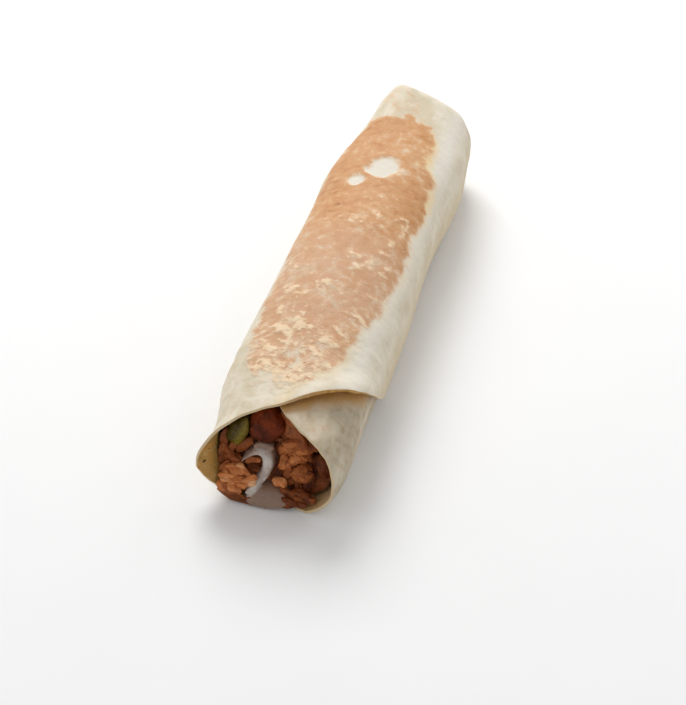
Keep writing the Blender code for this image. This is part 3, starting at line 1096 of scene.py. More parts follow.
@dataclass(frozen=True)
class PickleFlesh(Finish):
    """Pickled cucumber: dark olive skin, and a paler wet cut face with a soft seed core."""

    name: str = "pickle_flesh"
    shine: float = 0.2
    softness: float = 0.12
    soft_depth: float = 1.4
    skin: Colour = srgb(60, 48, 6)
    flesh: Colour = srgb(94, 78, 12)
    core: Colour = srgb(118, 100, 28)

    def make(self) -> Material:
        """Builds the material.

        Returns:
            The material.
        """
        bench = self.start()
        place = bench.place()
        depth = bench.stored("flesh")
        mottled = bench.noise(place, 1.5, 3.0, (1.0, 2.0, 1.4), 0.5)
        fine = bench.noise(place, 0.5, 2.0)
        level = bench.plus(depth, bench.centred(mottled, 0.5))
        colour = bench.ramp(level, ((0.15, self.skin), (0.45, self.flesh), (0.95, self.core)))
        relief = bench.relief((mottled, 0.3), (fine, 0.08))
        return self.finish(bench, colour, bench.span(mottled, 0.3, 0.7, 0.22, 0.4), relief)


@dataclass(frozen=True)
class Herb(Finish):
    """Specks of dried herb and ground spice, each of its own tone."""

    name: str = "herb_and_spice"
    shine: float = 0.3
    leaf: Colour = srgb(62, 58, 14)
    spice: Colour = srgb(150, 70, 20)
    burnt: Colour = srgb(30, 18, 8)

    def make(self) -> Material:
        """Builds the material.

        Returns:
            The material.
        """
        bench = self.start()
        mottled = bench.noise(bench.place(), 0.4, 2.0)
        colour = bench.blend(bench.stored("tone"), self.leaf, self.spice)
        colour = bench.blend(bench.span(mottled, 0.4, 0.8, 0.0, 0.35), colour, self.burnt)
        rough = bench.span(mottled, 0.3, 0.7, 0.5, 0.7)
        return self.finish(bench, colour, rough, bench.relief((mottled, 0.1)))


# ---- the flatbread ----

@dataclass(frozen=True)
class Spot:
    """One mark on the crust: where it is, its half length round the roll and half width along."""

    angle: float
    along: float
    long: float
    wide: float
    tilt: float = 0.0

    def share(self, arc: Array, along: Array, arc_rate: float) -> Array:
        """How deep inside the mark each place lies.

        Args:
            arc: millimetres round the roll.
            along: distance down the roll.
            arc_rate: millimetres round the roll for one degree.
        Returns:
            1 in the mark's middle and 0 well outside it.
        """
        turn = math.radians(self.tilt)
        across = arc - self.angle * arc_rate
        down = along - self.along
        first = (across * math.cos(turn) + down * math.sin(turn)) / self.long
        second = (down * math.cos(turn) - across * math.sin(turn)) / self.wide
        return np.exp(-(first ** 2 + second ** 2) ** 1.5)


@dataclass(frozen=True)
class Sheet:
    """Where the points of the flat sheet come to lie, and where they were on it."""

    winding: Array  # winding angle
    along: Array  # distance down the roll
    front: Array  # distance at which the sheet starts at that angle
    skin: Array  # place on the flat sheet


@dataclass
class Flatbread:
    """The rolled sheet, its browned patch, wrinkles, flakes and lifted flap."""

    columns: int = 224
    rows: int = 190
    # winding angle of the sheet's columns: close together on the outer turn, wide where hidden
    column_shares: tuple[float, ...] = (0.0, 0.735, 0.935, 1.0)
    column_windings: tuple[float, ...] = (ROLL.wind_start, 320.0, 450.0, ROLL.wind_end)
    covered: Pair = (288.0, 330.0)  # here the outer turn comes to cover the inner
    arc_rate: float = 0.47  # mm round the roll for one degree
    lift: float = 3.4  # how far the flap's front edge stands off the inner turn
    lift_place: float = 46.0
    lift_spread: float = 30.0
    lift_depth: float = 9.0
    edge_wave: float = 0.55
    inner_swell: float = 0.9  # the inner turn bellies out where nothing covers it
    sag: float = 2.6  # the edge is drawn back under the filling
    sag_place: float = 272.0
    sag_spread: float = 37.0
    edge_taper: float = 4.0  # the sheet thins out over this distance to its edge
    edge_share: float = 0.58
    flap_share: float = 0.75  # extra thickness of the flap's puffed edge
    fold_height: float = 0.55
    fold_cover: float = 320.0  # from this winding angle on the folds are pressed flat
    edge_round: float = 0.35
    # the browned patch: angle of its right and left borders at stations down the roll
    right_border: tuple[Pair, ...] = (
        (24.0, 84.0), (29.0, 68.0), (35.0, 57.5), (43.0, 52.0), (49.0, 51.0), (55.0, 48.0), (60.5, 47.5),
        (65.0, 43.0), (70.0, 41.0), (75.0, 34.5), (86.0, 34.5), (93.0, 31.0), (110.0, 31.5), (117.0, 38.0),
        (125.0, 35.5), (135.0, 33.0), (141.0, 35.5), (148.0, 38.5), (155.0, 38.5), (158.0, 43.0),
        (161.0, 51.0), (166.0, 49.5), (174.0, 49.5), (180.0, 52.5), (187.0, 60.0), (201.0, 92.0))
    left_border: tuple[Pair, ...] = (
        (24.0, 126.0), (36.0, 139.0), (50.0, 145.0), (66.0, 149.0), (89.0, 150.0), (130.0, 154.0),
        (161.0, 160.0), (174.0, 155.0), (189.0, 126.0), (201.0, 106.0))
    # share of the patch that has peeled to paler skin, at stations down the roll
    peel_share: tuple[Pair, ...] = (
        (22.0, 0.95), (34.0, 0.88), (48.0, 0.66), (62.0, 0.30), (84.0, 0.34), (104.0, 0.26),
        (122.0, 0.20), (132.0, 0.08), (212.0, 0.04))
    patch_start: float = 25.0
    patch_end: float = 187.0
    # the patch beneath, where the roll was griddled first: angle, half width in degrees, strength
    under_patch: Triple = (268.0, 34.0, 0.85)
    under_span: Pair = (22.0, 192.0)
    # bare bubbles that never touched the griddle
    bubbles: tuple[Spot, ...] = (
        Spot(88.5, 153.0, 8.0, 6.6, 12.0), Spot(111.0, 143.2, 5.6, 3.6), Spot(99.0, 150.0, 5.0, 2.4, 25.0))
    # pale curled flakes of skin
    flakes: tuple[Spot, ...] = (
        Spot(94.0, 116.0, 4.2, 1.4), Spot(72.0, 121.0, 2.6, 1.5), Spot(53.0, 124.5, 4.0, 1.3, -15.0),
        Spot(45.0, 119.5, 1.6, 4.2), Spot(54.0, 109.0, 1.8, 2.8), Spot(55.0, 103.0, 3.2, 1.3),
        Spot(77.0, 95.5, 3.4, 1.8, 15.0), Spot(63.0, 94.0, 2.2, 3.6, 10.0),
        Spot(50.0, 93.0, 2.8, 4.2, 25.0),
        Spot(72.0, 89.5, 3.0, 2.4), Spot(94.0, 77.0, 4.2, 1.6), Spot(110.0, 71.5, 6.4, 1.9, -14.0),
        Spot(124.0, 74.0, 4.2, 1.5), Spot(105.0, 58.0, 3.4, 2.9, 40.0), Spot(116.0, 52.0, 5.0, 2.4, 25.0),
        Spot(99.0, 54.5, 7.0, 2.2, 5.0), Spot(52.0, 65.0, 5.0, 1.4, 12.0), Spot(62.0, 56.0, 4.6, 1.5, 25.0),
        Spot(70.0, 49.0, 5.4, 1.5, 25.0), Spot(77.0, 43.0, 4.6, 1.3, 20.0),
        Spot(105.0, 45.0, 5.2, 1.5, 15.0), Spot(47.0, 60.5, 3.2, 2.2), Spot(124.0, 41.0, 4.4, 2.6, 20.0),
        Spot(119.0, 34.5, 4.4, 1.8),
        Spot(96.0, 34.0, 5.5, 1.5, 10.0), Spot(80.0, 31.0, 4.6, 1.6), Spot(128.0, 62.0, 2.5, 3.0),
        Spot(60.0, 37.0, 4.6, 1.2, 20.0), Spot(112.0, 29.0, 5.0, 1.8, -10.0))
    # small marks browned outside the patch's end, on the folded corner, and fainter tints there
    strays: tuple[Spot, ...] = (Spot(83.5, 187.5, 2.7, 3.4), Spot(77.0, 184.0, 3.4, 3.0))
    tints: tuple[Spot, ...] = (
        Spot(92.0, 196.0, 2.6, 5.5, 15.0), Spot(82.0, 196.0, 1.8, 5.0), Spot(74.0, 186.0, 3.0, 5.0),
        Spot(104.0, 193.0, 5.0, 5.0), Spot(112.0, 200.0, 7.0, 4.0), Spot(96.0, 203.0, 5.0, 2.0, 20.0))

    def windings(self, across: Array) -> Array:
        """Winding angle of each column, from its share of the way across."""
        return np.interp(across, self.column_shares, self.column_windings)

    def from_border(self, at: Sheet, border: tuple[Pair, ...]) -> Array:
        """Millimetres round the roll past a border, where the angle is greater than its own."""
        return (at.winding - np.interp(at.along, *zip(*border))) * self.arc_rate

    def patch(self, at: Sheet) -> Array:
        """The browned patch on top.

        Args:
            at: the sheet's points.
        Returns:
            0 outside the patch to 1 well inside it.
        """
        wander = 1.5 * layered(at.skin, (9.0, 7.0, 9.0), 11) + 1.1 * grain(at.skin, (2.8, 2.4, 3.0), 17)
        inside = np.minimum(self.from_border(at, self.right_border) / 1.6,
                            -self.from_border(at, self.left_border) / 2.6)
        inside = np.minimum(inside, (at.along - self.patch_start) / 7.0)
        inside = np.minimum(inside, (self.patch_end - at.along) / 1.8)
        return smooth(-1.0, 1.4, inside + wander * 0.55)

    def halo(self, at: Sheet) -> Array:
        """Faint yellow tint just outside the patch's right border.

        Args:
            at: the sheet's points.
        Returns:
            Its strength, greatest towards the tail.
        """
        inside = self.from_border(at, self.right_border) + 1.4 * grain(at.skin, (5.0, 4.0, 5.0), 19)
        reach = (0.35 + 0.65 * smooth(110.0, 150.0, at.along)) * (1.0 - smooth(172.0, 188.0, at.along))
        return smooth(-4.6, 1.0, inside) * (1.0 - smooth(3.0, 9.0, inside)) * reach

    def underside(self, at: Sheet) -> Array:
        """The browned patch beneath.

        Args:
            at: the sheet's points.
        Returns:
            0 outside the patch to its strength well inside it.
        """
        place, half, strength = self.under_patch
        start, stop = self.under_span
        wander = 0.9 * layered(at.skin, 10.0, 23)
        across = 1.0 - np.abs(np.mod(at.winding, 360.0) - place) / half
        inside = np.minimum(across * 5.0, (at.along - start) / 6.0)
        inside = np.minimum(inside, (stop - at.along) / 6.0)
        return strength * smooth(-0.5, 1.2, inside + 2.0 * wander)

    def damp(self, at: Sheet) -> Array:
        """How grey the inner turn is, partly from steaming and partly painted shade: most at the side,
        least towards the top.
        """
        patches = layered(at.skin, (8.0, 14.0, 8.0), 97) + 0.7 * layered(at.skin, (3.2, 7.0, 3.2), 99)
        return np.clip(0.84 - 0.50 * smooth(392.0, 436.0, at.winding) + 0.62 * patches, 0.0, 1.0)

    def shadow_stain(self, at: Sheet) -> Array:
        """Painted ochre shadow on the inner turn, along the line where the flap comes to lie on it."""
        reach = at.along - ROLL.front(at.winding - 360.0) + 1.2 * grain(at.skin, 4.0, 27)
        return smooth(-7.0, 0.5, reach) * smooth(358.0, 384.0, at.winding)

    def cover(self, spots: tuple[Spot, ...], at: Sheet) -> Array:
        """Deepest share of some marks at each point, their outlines made uneven.

        Args:
            spots: the marks.
            at: the sheet's points.
        Returns:
            1 in a mark's middle and 0 well outside all of them.
        """
        arc = at.winding * self.arc_rate
        bent = arc + 1.3 * grain(at.skin, 4.0, 31) + 0.5 * grain(at.skin, 1.8, 33)
        slid = at.along + 1.1 * grain(at.skin, 4.0, 35) + 0.5 * grain(at.skin, 1.8, 37)
        shares = [spot.share(bent, slid, self.arc_rate) for spot in spots]
        return np.max(np.stack(shares), axis=0)

    def strength(self, at: Sheet, near: Array) -> Array:
        """How deep a brown the patch has.

        Args:
            at: the sheet's points.
            near: how close each is to the mouth, from 0 to 1.
        Returns:
            About 0.2 where the patch is faint, to about 1.1.
        """
        depth = 0.76 + 0.30 * layered(at.skin, 14.0, 81) + 0.24 * layered(at.skin, (5.0, 3.6, 5.0), 83)
        island = layered(at.skin, (6.0, 4.0, 6.0), 57)
        faint = 0.55 * bulge(at.along, 1.0, 26.0, 13.0) * smooth(-0.35, 0.25, island)
        return depth - 0.14 * near - 0.07 * smooth(110.0, 150.0, at.along) - faint

    def marks(self, at: Sheet) -> dict[str, Array]:
        """Browning, flakes, tints, painted shade and painted light for every point.

        Args:
            at: the sheet's points.
        Returns:
            One array for each attribute of the crust's finish.
        """
        outer = 1.0 - smooth(*self.covered, at.winding)
        top = self.patch(at)
        near = 1.0 - smooth(88.0, 132.0, at.along + 6.0 * grain(at.skin, 20.0, 41))
        crowd = np.interp(at.along, *zip(*self.peel_share)) + 0.22 * grain(at.skin, 13.0, 71)
        peel = layered(at.skin, (5.4, 2.7, 5.0), 51)
        peeled = smooth(0.12, 0.52, peel + 0.5 * crowd - 0.25) * np.clip(crowd, 0.0, 1.0)
        strength = self.strength(at, near)
        bubbles, strays, tints, flakes = (self.cover(spots, at) for spots in
                                          (self.bubbles, self.strays, self.tints, self.flakes))
        toast = np.maximum(top * strength, 0.62 * smooth(0.02, 0.9, strays))
        toast = np.maximum(toast, 0.17 * smooth(0.0, 0.9, tints))
        toast = toast * (1.0 - smooth(0.03, 0.72, bubbles))
        toast = np.maximum(toast, self.underside(at) * strength)
        inner = 0.06 + 0.10 * smooth(0.1, 0.6, layered(at.skin, 12.0, 91))
        known = flakes * (0.80 + 0.60 * layered(at.skin, (3.0, 2.0, 3.0), 63))
        flakes = np.maximum(np.clip(known, 0.0, 1.0), 0.62 * peeled) * smooth(0.1, 0.6, top)
        return {
            "toast": outer * toast + (1.0 - outer) * inner,
            "flakes": outer * flakes,
            "halo": outer * self.halo(at),
            "bubbles": outer * bubbles,
            "peeled": outer * np.clip(crowd, 0.0, 1.0) * smooth(0.0, 0.3, top),
            # whiter band on the right flank: partly a floury dusting, partly painted highlight
            "flour": outer * bulge(at.winding, 1.0, 37.0, 13.0) * (0.8 + 0.4 * grain(at.skin, 15.0, 95)),
            # painted shade on the roll's right side, from its middle down
            "dusk": outer * (1.0 - smooth(-14.0, 18.0, at.winding)),
            "near": near,
            # greying of the inner turn: partly steaming, partly painted shade
            "steamed": (1.0 - outer) * self.damp(at),
            # painted ochre shadow beneath the flap's edge
            "stained": (1.0 - outer) * self.shadow_stain(at),
            # painted light on the inner face low on the right, deep in the mouth's shade
            "wan": 0.85 * smooth(286.0, 340.0, at.winding),
            "ochre": 0.25 + 0.75 * bulge(at.winding, 1.0, 45.0, 42.0),
        }

    def relief(self, at: Sheet, marks: dict[str, Array]) -> Array:
        """How far each point stands out of the even roll.

        Args:
            at: the sheet's points.
            marks: what the points are marked with.
        Returns:
            Millimetres at each point.
        """
        outer = 1.0 - smooth(*self.covered, at.winding)
        broad = 0.34 * layered(at.skin, (24.0, 30.0, 24.0), 101, 2)
        rucked = 0.15 + 0.20 * bulge(at.along, 1.0, 40.0, 24.0)
        wrinkle = rucked * layered(at.skin, (7.0, 3.4, 6.0), 111)
        raised = 0.20 * marks["toast"] * (0.6 + 0.6 * grain(at.skin, (5.0, 4.0, 5.0), 121))
        curled = 0.34 * marks["flakes"]
        pit = -0.55 * smooth(0.15, 0.6, marks["bubbles"]) + 0.35 * bulge(marks["bubbles"], 1.0, 0.2, 0.12)
        total = broad + wrinkle + raised + curled + pit + 0.25
        swell = self.inner_swell * bulge(at.winding, 1.0, 356.0, 34.0)
        swell = swell * (1.0 - smooth(16.0, 40.0, at.along))
        return outer * total + (1.0 - outer) * 0.35 * (broad + wrinkle) + swell

    def outward(self, at: Sheet, marks: dict[str, Array]) -> Array:
        """How far each point stands off the even roll: relief, lifted flap and the tail's folds.

        Args:
            at: the sheet's points.
            marks: what the points are marked with.
        Returns:
            Millimetres at each point.
        """
        lifted = self.lift * np.exp(-((at.along - at.front) / self.lift_depth) ** 2)
        lifted = lifted * bulge(at.winding, 1.0, self.lift_place, self.lift_spread)
        pleat = smooth(ROLL.length - 9.0, ROLL.length + 3.0, at.along)
        turn = np.radians(at.winding)
        folds = self.fold_height * np.sin(turn * 11.0 + 1.5 * np.sin(turn * 3.0))
        shape = (self.relief(at, marks) + lifted) * (1.0 - pleat)
        return shape + folds * pleat * np.where(at.winding < self.fold_cover, 1.0, 0.3)

    def wall(self, winding: Array, past: Array) -> Array:
        """How thick the sheet is, as a share of its full thickness.

        Args:
            winding: winding angle of each point.
            past: its distance past the sheet's front edge.
        Returns:
            The share at each point, less at the edge and most along the flap.
        """
        rim = self.edge_share + self.flap_share * bulge(winding, 1.0, self.lift_place, self.lift_spread)
        return rim + (1.0 - rim) * smooth(0.0, self.edge_taper, past)

    def build(self) -> Piece:
        """Models the sheet, rolls it, thickens it and dresses it.

        Returns:
            The rolled sheet.
        """
        made, across, down = unit_grid("rolled_flatbread", self.columns, self.rows)
        winding = self.windings(across)
        arc = winding * self.arc_rate
        edge = stack(arc, np.zeros_like(arc), np.zeros_like(arc))
        wave = self.edge_wave * grain(edge, 8.0, 5) + 0.4 * self.edge_wave * grain(edge, 2.5, 7)
        front = ROLL.front(winding) + wave + bulge(winding, self.sag, self.sag_place, self.sag_spread)
        along = front + (ROLL.end() - front) * down * (0.78 + 0.22 * down)
        skin = stack(arc, along, 3.0 * np.floor((winding - ROLL.wind_start) / 360.0))
        at = Sheet(winding, along, front, skin)
        marks = self.marks(at)
        points = ROLL.under(winding, along, ROLL.face_depth(winding) - self.outward(at, marks))
        points[:, 2] = np.maximum(points[:, 2], 0.0)
        write_points(made, points)
        paint(made, "skin", skin)
        for name, values in marks.items():
            paint(made, name, values)

        group = made.vertex_groups.new(name="wall")
        for index, share in enumerate(self.wall(winding, along - front)):
            group.add((index,), float(share), "REPLACE")
        edit(made, lambda: bpy.ops.mesh.flip_normals())
        dress(made, Crust().make(), Crumb().make(), CutEdge().make())
        apply(made, "SOLIDIFY", thickness=ROLL.thickness * MM, offset=-1.0, vertex_group="wall",
              material_offset=1, material_offset_rim=2)
        apply(made, "BEVEL", width=self.edge_round * MM, segments=2, limit_method="ANGLE",
              angle_limit=math.radians(50.0))
        round_off(made, 55.0)
        return made


@dataclass
class TailTuck:
    """The end of the sheet folded in to shut the tail: a dished disc with pleats."""

    columns: int = 120
    rows: int = 44
    depth: float = 5.0
    overlap: float = 2.6
    back: float = 2.0
    swell: float = 1.2
    rim_share: float = 0.86  # how far down each side the disc's face reaches
    fold_rise: float = 1.0
    second_fold_rise: float = 0.9
    pleat_height: float = 0.45
    skin_shift: float = 300.0  # keeps its noise unlike that of the rolled sheet

    def outline(self, across: Array, share: Array) -> tuple[Array, Array]:
        """Places on the disc, seen from behind.

        Args:
            across: share of the way round.
            share: share of the way from the middle to the edge.
        Returns:
            How far right and how high each point lies.
        """
        angle = 360.0 * across
        edge = ROLL.hull(angle, np.full_like(angle, ROLL.length - ROLL.tail_bend))
        centre_z = ROLL.height(np.array(ROLL.length)) * ROLL.centre_share
        reach = np.hypot(edge[:, 0], edge[:, 2] - centre_z)
        reach = reach - ROLL.tail_bend - ROLL.tail_turn_in + self.overlap
        turn = np.radians(angle)
        return reach * share * np.cos(turn), centre_z + reach * share * np.sin(turn)

    def build(self) -> Piece:
        """Models and dresses the fold.

        Returns:
            The folded disc.
        """
        made, across, down = unit_grid("folded_tail", self.columns, self.rows)
        rim = portion(np.minimum(down, 1.0 - down) * 2.0, 0.0, self.rim_share)
        share = np.sin(rim * math.pi / 2.0) ** 0.75
        x, z = self.outline(across, share)
        flat = stack(x, z, np.zeros_like(x))
        rise = z - ROLL.height(np.array(ROLL.length)) * ROLL.centre_share
        fold = smooth(-1.5, 1.5, x * 0.8 + rise * 0.6 + 2.0 * grain(flat, 9.0, 3))
        second = smooth(-1.2, 1.2, rise * 0.9 - x * 0.35 - 6.0 + 2.0 * grain(flat, 8.0, 9))
        pleats = self.pleat_height * np.sin(np.radians(360.0 * across) * 9.0 + share * 5.0)
        pleats = pleats * smooth(0.15, 0.8, share)
        relief = self.fold_rise * fold + self.second_fold_rise * second + pleats
        relief = relief + 0.5 * layered(flat, 6.0, 13)
        swell = np.cos(rim * math.pi / 2.0)
        face = ROLL.length - self.back
        y = face - 1.6 + relief * (0.35 + 0.65 * swell)
        y = np.where(down > 0.5, face - self.depth - self.swell * swell, y)
        edge_blend = smooth(0.93, 1.0, np.sin(rim * math.pi / 2.0))
        y = y * (1.0 - edge_blend) + (face - self.depth / 2.0 - 1.0) * edge_blend
        bare = ("near", "stained", "bubbles", "peeled", "flour", "dusk", "halo")
        marks = {name: np.zeros_like(x) for name in bare}
        marks["skin"] = stack(x + self.skin_shift, z, y)
        marks["toast"] = 0.30 * smooth(0.1, 0.7, layered(flat, 9.0, 21)) + 0.25 * second * fold
        marks["flakes"] = 0.4 * smooth(0.3, 0.8, layered(flat, 4.0, 25))
        marks["steamed"] = 0.25 * (1.0 - fold)
        return finished(made, stack(x, y, z), marks, Crust(name="tail_crust").make(), 60.0)


def polar(points: Array) -> tuple[Array, Array]:
    """Places seen from the filling's middle.

    Args:
        points: places, three numbers to a row.
    Returns:
        Each one's angle in degrees and its distance.
    """
    right = points[:, 0] - MIDDLE_X
    up = points[:, 2] - MIDDLE_Z
    return np.degrees(np.arctan2(up, right)), np.hypot(right, up)


# ---- the meat ----

@dataclass
class MeatCore:
    """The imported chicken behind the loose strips: one uneven body down the whole roll."""

    columns: int = 120
    rows: int = 110
    drawn_back: float = 4.6
    inset: float = 0.7
    face_end: float = 0.36  # share of the rows that make the front face
    side_end: float = 0.94  # share at which the far end starts
    lump: float = 1.5
    tone: float = 0.22

    def build(self) -> Piece:
        """Models and dresses the core.

        Returns:
            The core.
        """
        made, across, down = unit_grid("meat_core", self.columns, self.rows)
        rim_y = ROLL.filling_front(np.zeros_like(across), np.full_like(across, MIDDLE_Z))
        face = portion(down, 0.0, self.face_end)
        side = portion(down, self.face_end, self.side_end)
        tail = portion(down, self.side_end, 1.0)
        wall = ROLL.room(across, rim_y + self.drawn_back, self.inset)
        rim_front = ROLL.filling_front(wall[:, 0], wall[:, 2]) + self.drawn_back
        last = ROLL.length - ROLL.core_end
        along = rim_front + (last - rim_front) * side ** 1.7
        wall = ROLL.room(across, along, self.inset)
        share = np.sin(face * math.pi / 2.0) ** 0.9 * np.cos(tail * math.pi / 2.0)
        x = MIDDLE_X + (wall[:, 0] - MIDDLE_X) * share
        z = MIDDLE_Z + (wall[:, 2] - MIDDLE_Z) * share
        front_y = ROLL.filling_front(x, z) + self.drawn_back
        y = np.where(down <= self.face_end, front_y, along)
        places = stack(x, y, z)
        lump = self.lump * layered(places, (5.0, 6.0, 4.0), 201)
        y = y + lump * smooth(0.02, 0.10, down) * (1.0 - smooth(self.face_end, 0.5, down))
        marks = {"fibre": stack(x + 0.6 * z, z - 0.4 * x, y * 0.5),
                 "tone": self.tone + 0.12 * layered(places, 7.0, 205)}
        return finished(made, stack(x, y, z), marks, Roast(name="meat_core").make(), 60.0)


class Cut(Enum):
    """The ways the chicken is cut."""

    SHRED = "shred"
    SHAVING = "shaving"
    CHUNK = "chunk"


ROUNDING = {Cut.SHRED: 0.55, Cut.SHAVING: 0.30, Cut.CHUNK: 0.62}
USUAL_SIZE = {Cut.SHRED: (10.0, 2.8, 2.4), Cut.SHAVING: (10.0, 5.0, 2.2), Cut.CHUNK: (7.0, 5.0, 3.8)}
PIECE_SHIFT = 37.0  # so far apart that no two pieces share their noise


@dataclass(frozen=True)
class Strip:
    """One piece of chicken: its cut, place in the mouth, size, pose and tone."""

    cut: Cut
    x: float
    z: float
    size: Triple  # long, wide, thick
    heading: float = 0.0  # degrees in the plane of the filling's face
    pitch: float = 0.0  # how far its end points out of the face
    roll: float = 0.0  # turn about its own length
    curl: float = 0.0  # degrees it bends over its length
    proud: float = 0.0
    tone: float = 0.5


@dataclass(frozen=True)
class Heap:
    """A heap of fine shreds: its middle and half sizes, how many, their tones and how proud."""

    x: float
    z: float
    wide: float
    tall: float
    count: int
    darkest: float
    palest: float
    proud: float


@dataclass
class MeatStrips:
    """Loose shreds, shavings and chunks of chicken heaped in the mouth."""

    cuts: int = 8
    seed: int = 7
    fill: int = 52
    face_lean: float = 19.5
    first_seed: int = 300
    smallest_bend: float = 0.01
    front_limit: float = -1.5  # nothing stands further in front of the mouth
    spill: float = 2.4  # how far meat in front of the mouth laps over the bread
    wall_gap: float = 0.15
    # stations whose outline the meat is kept within, and how far each one's holds
    stations: tuple[Pair, ...] = ((4.0, 6.0), (12.0, 4.5), (20.0, 6.0))
    # left clear for the pickle, tomato, sauce and pool: x, z, half width, half height
    clear: tuple[Quad, ...] = (
        (-15.6, 25.0, 5.6, 7.6), (-5.0, 29.0, 8.0, 8.0), (-5.6, 13.0, 7.6, 9.0), (-2.0, 4.0, 8.0, 4.0))
    placed: tuple[Strip, ...] = (
        # what lies under the pale shreds at the lower left
        Strip(Cut.CHUNK, -13.2, 10.0, (6.4, 4.6, 3.0), 12.0, 0.0, 20.0, 14.0, 0.4, 0.60),
        Strip(Cut.CHUNK, -14.6, 7.0, (7.0, 4.2, 3.0), -18.0, 0.0, 0.0, 20.0, 0.9, 0.56),
        Strip(Cut.CHUNK, -17.6, 4.6, (6.6, 4.0, 3.0), -24.0, 0.0, 25.0, 12.0, 1.0, 0.40),
        Strip(Cut.CHUNK, -13.0, 3.2, (6.6, 3.2, 3.0), -20.0, 0.0, 0.0, 10.0, 2.0, 0.42),
        Strip(Cut.SHRED, -9.4, 2.0, (6.0, 2.6, 2.6), -20.0, 0.0, 0.0, 10.0, 2.8, 0.36),
        Strip(Cut.CHUNK, -17.8, 2.4, (5.0, 3.0, 2.8), -34.0, 0.0, 0.0, 10.0, 2.8, 0.34),
        Strip(Cut.SHRED, 6.6, 2.7, (8.0, 2.8, 2.6), 8.0, 0.0, 0.0, 16.0, 1.8, 0.14),
        Strip(Cut.SHRED, 7.4, 4.0, (7.0, 2.6, 2.4), -20.0, 0.0, 0.0, 16.0, 2.2, 0.18),
        # wet meat against the bread, left of the pickle
        Strip(Cut.SHAVING, -20.6, 15.0, (9.0, 4.0, 2.4), 82.0, 0.0, 20.0, 24.0, 0.4, 0.28),
        Strip(Cut.SHAVING, -20.2, 21.0, (9.0, 4.2, 2.4), 70.0, 0.0, 25.0, 24.0, 0.4, 0.22),
        Strip(Cut.SHRED, -19.4, 10.4, (8.0, 2.8, 2.2), 70.0, 0.0, 10.0, 20.0, 0.6, 0.42),
        # a small pink piece beside the pool
        Strip(Cut.CHUNK, 2.2, 8.6, (4.9, 4.4, 3.8), 50.0, 0.0, 0.0, 15.0, 1.2, 0.70),
        # smooth slices on the right, folded over one another
        Strip(Cut.SHAVING, 4.6, 28.6, (18.0, 9.0, 3.0), -60.0, 4.0, 12.0, 40.0, 1.2, 0.34),
        Strip(Cut.SHAVING, 9.6, 26.6, (15.0, 7.0, 2.6), -56.0, 0.0, -20.0, 30.0, 1.0, 0.28),
        Strip(Cut.SHAVING, 7.4, 19.6, (9.0, 4.6, 2.8), 22.0, 12.0, 30.0, 30.0, 1.6, 0.52),
        Strip(Cut.CHUNK, 6.2, 17.0, (7.0, 3.6, 3.0), 34.0, 8.0, 0.0, 20.0, 1.5, 0.56),
        Strip(Cut.CHUNK, 9.8, 22.0, (7.6, 3.8, 3.0), -34.0, 6.0, 0.0, 20.0, 1.2, 0.44),
        Strip(Cut.SHRED, 10.8, 18.4, (8.0, 2.6, 2.4), -62.0, 0.0, 20.0, -45.0, 0.6, 0.30),
        Strip(Cut.CHUNK, 8.8, 11.2, (10.0, 7.4, 5.0), 64.0, 0.0, 0.0, 18.0, 0.7, 0.42),
        # the darkest slices here, sunken at the far right (12.6, 9.0 and 14.6, 13.0), are toned almost
        # black as painted shade in the gap beside the bread
        Strip(Cut.SHAVING, 12.6, 9.0, (10.0, 4.4, 2.4), 80.0, 0.0, 30.0, 40.0, -0.8, 0.10),
        Strip(Cut.SHRED, 4.4, 13.2, (8.0, 3.0, 2.6), 76.0, 0.0, 0.0, 20.0, 0.6, 0.36),
        Strip(Cut.SHRED, 8.2, 5.6, (10.0, 3.0, 2.6), 6.0, 4.0, 0.0, 30.0, 1.2, 0.20),
        Strip(Cut.SHRED, 6.0, 3.4, (9.0, 2.8, 2.4), -6.0, 0.0, 0.0, 20.0, 1.4, 0.20),
        Strip(Cut.SHAVING, 13.0, 4.8, (8.0, 3.6, 2.6), 14.0, 0.0, 20.0, 16.0, 0.9, 0.30),
        Strip(Cut.CHUNK, 3.0, 20.4, (7.0, 4.6, 3.4), 62.0, 0.0, 0.0, 10.0, 0.3, 0.42),
        Strip(Cut.CHUNK, 2.4, 15.0, (7.0, 4.0, 3.2), 84.0, 0.0, 0.0, 10.0, 0.2, 0.46),
        Strip(Cut.SHAVING, 14.6, 13.0, (10.0, 4.4, 2.4), 84.0, 0.0, 30.0, 40.0, -2.4, 0.06),
        # wet meat between the pickle, the tomato and the sauce
        Strip(Cut.SHAVING, -13.0, 18.6, (9.0, 4.4, 2.4), 36.0, 0.0, 10.0, 35.0, -0.4, 0.30),
        Strip(Cut.SHRED, -17.6, 16.4, (8.0, 2.8, 2.4), 64.0, 0.0, 0.0, 30.0, -0.2, 0.34),
        Strip(Cut.SHRED, -8.8, 14.4, (7.0, 2.6, 2.2), 24.0, 0.0, 0.0, 40.0, 0.2, 0.40))

    # the heap low at the right (9.4, 5.2) and the dark shreds placed about it are toned dark as painted
    # shade
    heaps: tuple[Heap, ...] = (
        Heap(-14.2, 8.6, 5.0, 3.6, 17, 0.46, 0.86, 1.7), Heap(-15.0, 4.2, 4.6, 2.2, 8, 0.34, 0.62, 2.2),
        Heap(-14.6, 1.9, 4.8, 1.0, 9, 0.26, 0.58, 3.0), Heap(7.2, 20.0, 2.8, 3.4, 6, 0.34, 0.54, 1.7),
        Heap(9.4, 5.2, 5.0, 1.8, 6, 0.10, 0.26, 1.2), Heap(-15.6, 15.2, 3.6, 3.0, 5, 0.22, 0.38, 0.2))

